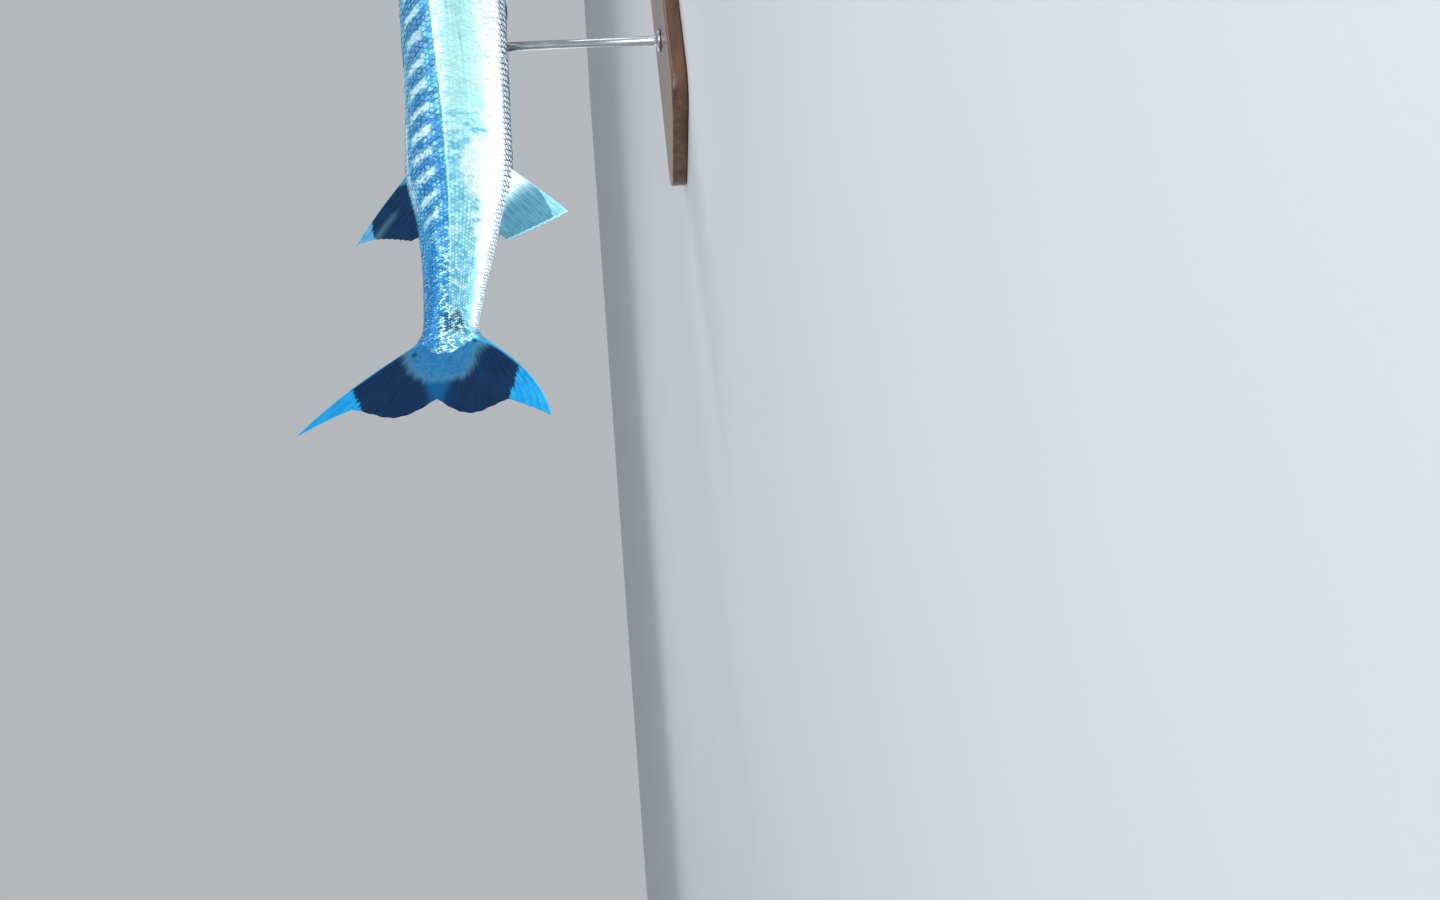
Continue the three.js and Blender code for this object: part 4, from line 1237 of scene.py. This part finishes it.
def make_fin(node, place, rays, rows, thickness, material, slot, normal=ACROSS, flesh_half=nowhere, **marks):
    """Closed sheet whose two faces bear the rays. Marks are depths into the fields of colour."""
    columns = (rays - 1) * POINTS_PER_RAY
    u, v = np.meshgrid(np.linspace(0, 1, rows + 1), np.linspace(0, 1, columns + 1), indexing="ij")
    ridge = ray_ridges(v, u, rays)
    half = np.maximum(fin_thickness(u, ridge, *thickness), flesh_half(v, u))
    middle, offset = place(v, u), half[..., None] * np.asarray(normal)
    index = np.arange(u.size).reshape(u.shape)
    border = np.concatenate([index[:-1, 0], index[-1, :-1], index[:0:-1, -1], index[0, :0:-1]])
    after = np.roll(border, -1)
    walls = np.stack([border, after, after + u.size, border + u.size], 1).tolist()
    values = {"across": v, "along": u, "ridge": ridge}
    values |= {mark: marks.get(mark, nowhere)(v, u) for mark in FIN_MARKS}
    make_piece(
        node + "_piece", swung(np.stack([middle + offset, middle - offset])),
        grid_faces(*u.shape) + grid_faces(*u.shape, u.size, True) + walls, material, slot, (node,),
        weld=0.002 * MM, **{label: np.stack([grid, grid]) for label, grid in values.items()},
    )


def median_place(root, margin, bow):
    """Points of a fin in the middle plane, from its root line and its margin."""
    def place(v, u):
        s0, z0 = root(v)
        s1, z1 = margin(v)
        return point(s0 + (s1 - s0) * u, 0, z0 + (z1 - z0) * u + bow * (1 - v) * 4 * u * (1 - u))
    return place


def ripple(v):
    """Shallow bays of the margin between the rays."""
    return 0.0006 * np.cos(2 * math.pi * v * 9)


def make_second_dorsal(material):
    def root(v):
        s = 0.714 + 0.103 * v
        return s, top_at(s) - ROOT_SUNK

    def margin(v):
        return 0.8185 + 0.0105 * (1 - v) ** 6 + 0.0075 * v**2 + ripple(v), 0.1106 - 0.0616 * v**0.85

    make_fin(
        "second_dorsal_fin", median_place(root, margin, 0.0035), 10, 44, (3.2, 1.2, 0.6, 0.4),
        material, "fin_dark",
        pale=lambda v, u: (u - 0.66 - 1.2 * v) * 0.09,
        base=lambda v, u: (0.2 - u - 1.1 * v) * 0.1,
        middle=lambda v, u: 0.0028 * u - np.abs(v - 0.36 + 0.05 * u) * 0.08 - 0.03 * np.clip(0.5 - u, 0, 1),
        front=lambda v, u: 0.0012 - v * 0.09,
    )


def make_anal(material):
    def root(v):
        s = 0.714 + 0.102 * v
        return s, belly_at(s) + ROOT_SUNK

    def margin(v):
        return 0.79 + 0.0424 * v**0.75 + ripple(v), -0.1315 + 0.0707 * v**0.85

    make_fin(
        "anal_fin", median_place(root, margin, -0.003), 10, 44, (4.2, 1.2, 0.6, 0.5),
        material, "fin_pale",
        pale=lambda v, u: (u - 0.46 - 2.9 * v) * 0.06,
        base=lambda v, u: (0.34 - 0.5 * v - u) * 0.08,
        front=lambda v, u: np.maximum((u - 0.965) * 0.08, 0.0008 - v * 0.08),
    )


def make_first_dorsal(material):
    """The fin folded down along the back."""
    def root(v):
        s = 0.42 + 0.07 * v
        return s, top_at(s) - ROOT_SUNK / 2

    def margin(v):
        s = 0.498 + 0.031 * v
        return s, top_at(s) + 0.002 - 0.0004 * v

    place = median_place(root, margin, 0.0008)
    make_fin("first_dorsal_fin", place, 5, 36, (2.2, 1.5, 0.7, 0.3), material, "fin_dark")


FORK = (1.0773, 0.0123)
UPPER_LOBE = {"reach": 0.1368, "rise": 0.0425, "swell": 0.0243, "bow": 0.0085}
LOWER_LOBE = {"reach": 0.1165, "rise": 0.035, "swell": 0.0242, "bow": 0.0115}
SWELL_END = 0.62
RISE_START = 0.45
RISE_POWER = 1.4
FLESH_END = 0.62
CAUDAL_RAYS = 21
CAUDAL_THICKNESS = (0, 1.7, 0.6, 0.01)

# Where the fleshy base of the tail fin ends and the dark lobes begin, as place and height
TAIL_BASE = (
    (0.99, 0.06), (1.0, 0.056), (1.0097, 0.0481), (1.0239, 0.0457), (1.0385, 0.0381),
    (1.0483, 0.0274), (1.0505, 0.017), (1.0502, 0.0067), (1.0489, -0.007), (1.0435, -0.0173),
    (1.0277, -0.0248), (1.0114, -0.029), (1.0046, -0.0395), (1.0054, -0.06), (0.99, -0.06),
    (0.99, 0.06),
)
FORK_BAND = 0.005
UPPER_TIP_LINE = ((1.0566, 0.1003), (1.0873, 0.0879))
LOWER_TIP_LINE = ((1.0383, -0.0719), (1.0816, -0.0631))
TAIL_DOTS = ((1.0155, 0.0372, 0.0034), (1.0035, -0.0262, 0.0024))


def caudal_place(v, u):
    t = 1 - 2 * v
    q = np.abs(t)
    lobe = {key: np.where(t > 0, UPPER_LOBE[key], LOWER_LOBE[key]) for key in UPPER_LOBE}
    swell = lobe["swell"] * np.sin(math.pi * np.minimum(q / SWELL_END, 1))
    rise = lobe["rise"] * np.clip((q - RISE_START) / (1 - RISE_START), 0, 1) ** RISE_POWER
    bays = 0.0005 * np.cos(2 * math.pi * v * (CAUDAL_RAYS - 1)) * (1 - q**4)
    s1 = FORK[0] + swell + rise + bays
    z1 = FORK[1] + t * lobe["reach"]
    high, low = top_at(1), belly_at(1)
    s0 = 1 + GAP / LENGTH
    z0 = (high + low) / 2 + t * (high - low) / 2
    return point(s0 + (s1 - s0) * u, 0, z0 + (z1 - z0) * u + lobe["bow"] * t * 4 * u * (1 - u))


def caudal_flesh(v, u):
    """Half thickness of the fleshy root, which carries on the tail stalk."""
    end = half_width_at(1) * LENGTH * np.sqrt(np.clip(1 - (1 - 2 * v) ** 2, 0, 1))
    return end * np.clip(1 - u / FLESH_END, 0, 1) ** 2


def beyond_line(s, z, line, way):
    """Distance beyond a straight line on the fin, in metres, towards one way along the heights."""
    (s0, z0), (s1, z1) = line
    along, up = s1 - s0, z1 - z0
    return way * ((z - z0) * along - (s - s0) * up) / math.hypot(along, up) * LENGTH


def make_caudal(material):
    def flat(v, u):
        points = caudal_place(v, u)
        return place_of(points), height_of(points)

    def pale(v, u):
        s, z = flat(v, u)
        upper, lower = beyond_line(s, z, UPPER_TIP_LINE, 1), beyond_line(s, z, LOWER_TIP_LINE, -1)
        return np.where(z > 0, upper, lower)

    def middle(v, u):
        s, z = flat(v, u)
        return (FORK_BAND + 0.3 * np.maximum(FORK[0] - s, 0) - np.abs(z - FORK[1])) * LENGTH

    def dot(v, u):
        s, z = flat(v, u)
        away = [radius - np.hypot(s - place, z - level) * LENGTH for place, level, radius in TAIL_DOTS]
        return np.maximum(*away)

    make_fin(
        "caudal_fin", caudal_place, CAUDAL_RAYS, 70, CAUDAL_THICKNESS, material, "fin_dark",
        flesh_half=caudal_flesh, pale=pale, middle=middle, dot=dot,
        base=lambda v, u: depth_inside(*flat(v, u), TAIL_BASE),
        front=lambda v, u: 0.0011 - np.minimum(v, 1 - v) * 0.2 * u,
    )


# Paired fins: lengths are fractions, angles are in radians and thicknesses in millimetres
PECTORAL = {
    "rays": 13, "length": 0.112, "shorten": 0.58, "first": 0.04, "last": 0.5, "splay": 0.36,
    "lean": (0.97, -0.25), "across": (0.25, -0.97), "root_thickness": 2.4, "root_sink": 0,
}
PELVIC = {
    "rays": 6, "length": 0.07, "shorten": 0.45, "first": 0.17, "last": -0.06, "splay": 0.07,
    "lean": (0.3, -0.95), "across": (0.94, 0.34), "root_thickness": 2.2, "root_sink": 1.3 * MM,
}


def pectoral_root(v, side):
    s, z = 0.314 + 0.004 * v, -0.011 - 0.02 * v
    return point(s, side * (flank_at(s, z) - 3 * MM / LENGTH), z)


def pelvic_root(v, side):
    s = 0.358 + 0.006 * v
    y = 0.026 - 0.013 * v
    n = squareness(s, False)
    drop = (1 - (y / half_width_at(s)) ** n) ** (1 / n)
    return point(s, side * y, widest_at(s) + (belly_at(s) - widest_at(s)) * drop + 0.002)


def make_paired_fin(name, side, spec, root, material):
    out, up = np.array(spec["lean"]) * math.sin(spec["splay"])
    back = unit(np.array([-math.cos(spec["splay"]), side * out, up]))
    down = unit(np.array([0, side * spec["across"][0], spec["across"][1]]))
    normal = unit(np.cross(back, down))

    def place(v, u):
        length = spec["length"] * (1 - spec["shorten"] * v**1.3) * LENGTH
        angle = (spec["first"] + (spec["last"] - spec["first"]) * v)[..., None]
        curl = (0.004 * u**2 * np.sin(math.pi * v))[..., None] * normal * side
        reach = (np.cos(angle) * back + np.sin(angle) * down) * (length * u)[..., None]
        points = root(v, side) + reach + curl
        points[..., 2] += spec["root_sink"] * (1 - smooth(0.25, 0.45, u))
        return points

    make_fin(
        name, place, spec["rays"], 36, (spec["root_thickness"], 1.0, 0.42, 0.3), material, "fin_pale", normal,
        pale=lambda v, u: (u - 0.86) * 0.09, base=lambda v, u: (0.14 - u) * 0.09,
    )


# Small scales over the root of the tail fin

TAIL_SCALE_ROWS = 44
TAIL_SCALE_COLUMNS = 30
TAIL_SCALE_STEP = 0.019


def silver_end(z):
    """Place where the silver scales end, at a height."""
    offset = z - 0.009
    return 1.0155 - np.where(offset > 0, 35, 16) * offset**2


def make_tail_base_scales(material):
    u, v = np.meshgrid(np.arange(TAIL_SCALE_ROWS), np.arange(TAIL_SCALE_COLUMNS), indexing="ij")
    v = ((v + 0.5 * (u % 2)) / TAIL_SCALE_COLUMNS).reshape(-1, 1)
    u = (u * TAIL_SCALE_STEP - 0.02).reshape(-1, 1)
    flat = caudal_place(v, np.clip(u, 0, 1))
    kept = (place_of(flat) < silver_end(height_of(flat)))[:, 0]
    root_v, root_u = v[kept], u[kept]
    count = len(root_u)
    a, b = ALONG_SCALE, ACROSS_SCALE
    u = np.clip(root_u + 0.03 * (a - 0.1), 0, 1)
    v = np.clip(root_v + 0.034 * b, 0.004, 0.996)
    lift = (0.36 * (a + 0.6) + 0.14 * (1 - b**2) - 0.26 * SCALE_UNDER) * 0.5 * MM
    half = np.maximum(fin_thickness(u, 0, *CAUDAL_THICKNESS), caudal_flesh(v, u)) + lift
    points, faces, shades = [], [], []
    for side in (1, -1):
        faces += scale_faces(count, side, len(points) * count * SCALE_SIZE)
        points.append(caudal_place(v, u))
        points[-1][..., 1] += side * half
        shades.append(rng.uniform(0, 1, (count, 1)) + 0 * u)
    both = np.zeros((2, *u.shape))
    piece = make_piece(
        "scales_tail_base", swung(np.stack(points)), faces, material, "skin",
        place=1 + 0.05 * root_u + both, row=2 * root_v + both, shade=np.stack(shades),
        back=a + both, aside=b + both,
    )
    half_map = np.array([0.02, 0.51])[:, None, None]
    add_bake_map(piece.data, 0.05 + 0.9 * root_u + 0 * half_map, 0.47 * root_v + half_map)


# Teeth: rows along each side of a jaw by places, with sizes in millimetres

UPPER_TEETH = (
    {"from": 0.009, "to": 0.018, "count": 2, "inset": 4.2, "reach": 0.7, "radius": 2.7},
    {"from": 0.032, "to": 0.074, "count": 4, "inset": 7.5, "reach": 0.76, "radius": 2.6},
    {"from": 0.026, "to": 0.098, "count": 7, "inset": 2.4, "reach": 0.24, "radius": 1.6},
)
LOWER_TEETH = (
    {"from": 0.018, "to": 0.1, "count": 8, "inset": 3.4, "reach": 0.52, "radius": 2.5},
)
FRONT_FANG = {"place": -0.003, "length": 17, "radius": 3}
TOOTH_RINGS = 9
TOOTH_SIDES = 12


def tooth_points(root, way, length, radius, sunk):
    """Rings of one tooth from its sunk root to its tip, flattened and bent a little backwards."""
    t = np.linspace(0, 1, TOOTH_RINGS)[:, None]
    turns = full_turn(TOOTH_SIDES)[None, :]
    taper = radius * np.clip((1 - t**1.25), 0.02, 1) * MM
    x = taper * np.cos(turns) - 0.12 * length * MM * t**2
    y = taper * 0.62 * np.sin(turns)
    z = way * ((length + 2.5) * t - 2.5) * MM + 0 * turns
    neck = 0.9 if way > 0 else 0.45
    x[0], y[0], z[0] = neck * x[0], neck * y[0], -way * sunk
    return np.stack([x, y, z], -1).reshape(-1, 3) + root


def make_teeth(name, rows, way, material):
    """Teeth of one jaw, which point up where way is 1 and down where it is -1."""
    front = LOWER_LIP_FRONT if way > 0 else UPPER_LIP_FRONT
    teeth = []
    for row, side in ((row, side) for row in rows for side in (-1, 1)):
        for k in range(row["count"]):
            s = row["from"] + (row["to"] - row["from"]) * k / (row["count"] - 1)
            opening = (lip_height(s, UPPER_LIP_FRONT) - lip_height(s, LOWER_LIP_FRONT)) * LENGTH / MM
            lip = lip_height(s, front)
            half = float(flank_at(max(s, NOSE_ROUND), lip) * nose_round(s)) * LENGTH
            y = max(half - row["inset"] * MM, 2.2 * MM)
            length = opening * row["reach"] * (1 - 0.12 * (k % 2))
            sunk = lining_depth(half, y / half) + 1.5 * MM
            teeth.append(tooth_points(point(s, side * y / LENGTH, lip), way, length, row["radius"], sunk))
    if way > 0:
        root = point(FRONT_FANG["place"], 0, LOWER_LIP_FRONT)
        teeth.append(tooth_points(root, way, FRONT_FANG["length"], FRONT_FANG["radius"], 5 * MM))
    faces = []
    to_tip = (TOOTH_RINGS - 1) * TOOTH_SIDES
    for k in range(len(teeth)):
        start = k * TOOTH_RINGS * TOOTH_SIDES
        foot = list(range(start, start + TOOTH_SIDES))
        faces += tube_faces(TOOTH_RINGS, TOOTH_SIDES, start)
        faces += [[corner + to_tip for corner in foot], foot[::-1]]
    if way < 0:
        faces = [face[::-1] for face in faces]
    make_piece(name, swung(np.concatenate(teeth)), faces, material)


# Eyes

EYE_RINGS = 40
EYE_SIDES = 72


def make_eye(label, side, material):
    centre, normal = eye_frame(side)
    polar = np.linspace(0, math.pi, EYE_RINGS + 1)[:, None]
    turns = full_turn(EYE_SIDES)[None, :]
    up = unit(np.array([0, 0, 1.0]) - normal[2] * normal)
    ahead = unit(np.cross(up, normal))
    radial = np.sin(polar) + 0 * turns
    across = (radial * np.cos(turns))[..., None] * ahead + (radial * np.sin(turns))[..., None] * up
    bulge = (np.cos(polar) + 0 * turns)[..., None] * normal
    points = centre - EYE_INSET * normal + EYE_RADIUS * across + EYE_DEPTH * bulge
    make_piece(
        f"eye_{label}_piece", swung(points), tube_faces(EYE_RINGS + 1, EYE_SIDES), material,
        "eye", (f"eye_{label}",), weld=0.001 * MM,
        radial=np.where(np.cos(polar) > 0, radial, 1), lift=radial * np.sin(turns),
        turn=np.arctan2(np.sin(turns), np.cos(turns)) + 0 * polar,
    )


# Stand

BASE_PLACE = 0.45
BASE_SIZE = (0.48, 0.2, 0.02)
BASE_CORNER = 0.04
BASE_BEVEL = 0.003
CORNER_STEPS = 12
ROD_RADIUS = 0.006
ROD_SIDES = 48
ROD_PLACES = {"stand_rod_front": 0.315, "stand_rod_rear": 0.5}

# Rounded upper edge of the board, inset and drop as shares of the bevel
BOARD_EDGE = ((0, 1), (0.08, 0.62), (0.3, 0.3), (0.62, 0.08), (1, 0), (2.2, 0))

# Turned foot of a rod, radius and height in millimetres
ROD_FOOT = (
    (0, 0), (14.6, 0), (15, 0.4), (15, 2.8), (14.5, 3.6), (13.2, 4.4), (11, 5), (8.5, 5.5),
    (6.8, 7), (6, 9.5),
)


def rounded_rectangle(length, width, corner):
    outline = []
    for k, (x, y) in enumerate(((1, 1), (-1, 1), (-1, -1), (1, -1))):
        for step in range(CORNER_STEPS + 1):
            angle = math.pi / 2 * (k + step / CORNER_STEPS)
            outline.append((
                x * (length / 2 - corner) + corner * math.cos(angle),
                y * (width / 2 - corner) + corner * math.sin(angle),
            ))
    return np.array(outline)


def make_base(material):
    """Board with rounded upper and lower edges."""
    length, width, thick = BASE_SIZE
    b = BASE_BEVEL
    profile = [(b, 0), (b * 0.3, b * 0.3), (0, b)]
    profile += [(b * inset, thick - b * drop) for inset, drop in BOARD_EDGE]
    rings = []
    for inset, z in profile:
        ring = rounded_rectangle(length - 2 * inset, width - 2 * inset, BASE_CORNER - inset)
        rings.append(np.column_stack([ring, np.full(len(ring), z)]))
    points = np.array(rings)
    points[..., 0] += SNOUT_X - BASE_PLACE * LENGTH
    count = points.shape[1]
    foot = list(range(count))
    faces = tube_faces(len(rings), count) + [foot[::-1], [k + (len(rings) - 1) * count for k in foot]]
    make_piece("stand_board", points, faces, material, "stand_wood", ("stand_base",))


def make_rod(node, material):
    """Round rod with a turned foot, its top end inside the scales of the belly."""
    s = ROD_PLACES[node]
    bottom = BASE_SIZE[2] + GAP
    top = AXIS_HEIGHT + float(belly_at(s)) * LENGTH + 1.5 * MM
    profile = [(radius * MM, bottom + height * MM) for radius, height in ROD_FOOT]
    radius, z = np.array(profile + [(ROD_RADIUS, top), (0, top)]).T[..., None]
    turns = full_turn(ROD_SIDES)
    points = [SNOUT_X - s * LENGTH + radius * np.cos(turns), radius * np.sin(turns), z + 0 * turns]
    faces = tube_faces(len(radius), ROD_SIDES)
    make_piece(
        node + "_steel", np.stack(points, -1), faces, material, "stand_steel", (node,), weld=0.001 * MM,
    )


# Studio

FLOOR_REACH = 14
FLOOR_LINES = 9
WORLD_LIGHT = 0.68

# Soft boxes: place, target, size and power
LIGHTS = {
    "key_softbox": ((-1.5, -2.1, 1.1), (-0.25, 0, 0.29), (1.5, 1.1), 22),
    "low_softbox": ((-0.9, -2.5, 0.45), (-0.25, 0, 0.29), (2.2, 0.5), 15),
    "belly_softbox": ((-0.35, -0.1, 0.03), (-0.35, -0.0999, 0.29), (1.2, 0.2), 2.1),
    "head_softbox": ((1.9, -1.4, 1.3), (0.4, 0, 0.29), (1.2, 1.2), 12),
    "far_softbox": ((0.2, 2.4, 1.6), (0, 0, 0.29), (2.4, 1.2), 14),
    "top_softbox": ((0, 0, 2.6), (0, 0, 0.2), (2.4, 1.2), 22),
}


def make_floor(material):
    steps = np.linspace(-FLOOR_REACH, FLOOR_REACH, FLOOR_LINES)
    points = [(x, y, -0.0005) for x in steps for y in steps]
    faces = grid_faces(FLOOR_LINES, FLOOR_LINES, 0, True)
    add_object("studio_floor", make_mesh("studio_floor", points, faces, material))


def make_lights():
    for name, (place, target, size, power) in LIGHTS.items():
        lamp = bpy.data.lights.new(name, "AREA")
        lamp.shape = "RECTANGLE"
        lamp.size, lamp.size_y = size
        lamp.energy = power
        light = add_object(name, lamp)
        light.location = place
        light.visible_camera = False
        light.rotation_euler = (Vector(target) - Vector(place)).to_track_quat("-Z", "Y").to_euler()


def make_world():
    world = bpy.data.worlds.new("studio")
    world.use_nodes = True
    background = world.node_tree.nodes["Background"]
    background.inputs[0].default_value = srgb(214, 219, 223)
    background.inputs[1].default_value = WORLD_LIGHT
    bpy.context.scene.world = world


def make_camera():
    data = bpy.data.cameras.new("photo_camera")
    data.sensor_width = SENSOR_WIDTH
    data.lens = FOCAL_LENGTH
    camera = add_object("photo_camera", data)
    right, up = Vector(CAMERA_RIGHT), Vector(CAMERA_UP)
    turn = Matrix((right, up, right.cross(up))).transposed()
    camera.matrix_world = Matrix.Translation(CAMERA_PLACE) @ turn.to_4x4()
    bpy.context.scene.camera = camera


def build():
    make_camera()
    make_world()
    make_lights()
    make_floor(make_floor_material())

    scales = make_scale_material()
    make_skin(make_skin_material())
    make_scales("scales_left", 1, scales)
    make_scales("scales_right", -1, scales)
    make_tail_base_scales(scales)

    dark_fin, folded_fin, tail_fin, pale_fin = (make_fin_material(name) for name in FIN_TONES)
    make_first_dorsal(folded_fin)
    make_second_dorsal(dark_fin)
    make_anal(pale_fin)
    make_caudal(tail_fin)
    for side, label in ((1, "left"), (-1, "right")):
        make_paired_fin(f"pectoral_fin_{label}", side, PECTORAL, pectoral_root, pale_fin)
        make_paired_fin(f"pelvic_fin_{label}", side, PELVIC, pelvic_root, pale_fin)

    eye = make_eye_material()
    make_eye("left", 1, eye)
    make_eye("right", -1, eye)
    ivory = make_tooth_material()
    make_teeth("upper_teeth", UPPER_TEETH, -1, ivory)
    make_teeth("lower_teeth", LOWER_TEETH, 1, ivory)

    make_base(make_wood_material())
    steel = make_steel_material()
    for node in ROD_PLACES:
        make_rod(node, steel)


build()
bpy.context.scene.view_settings.view_transform = "Standard"
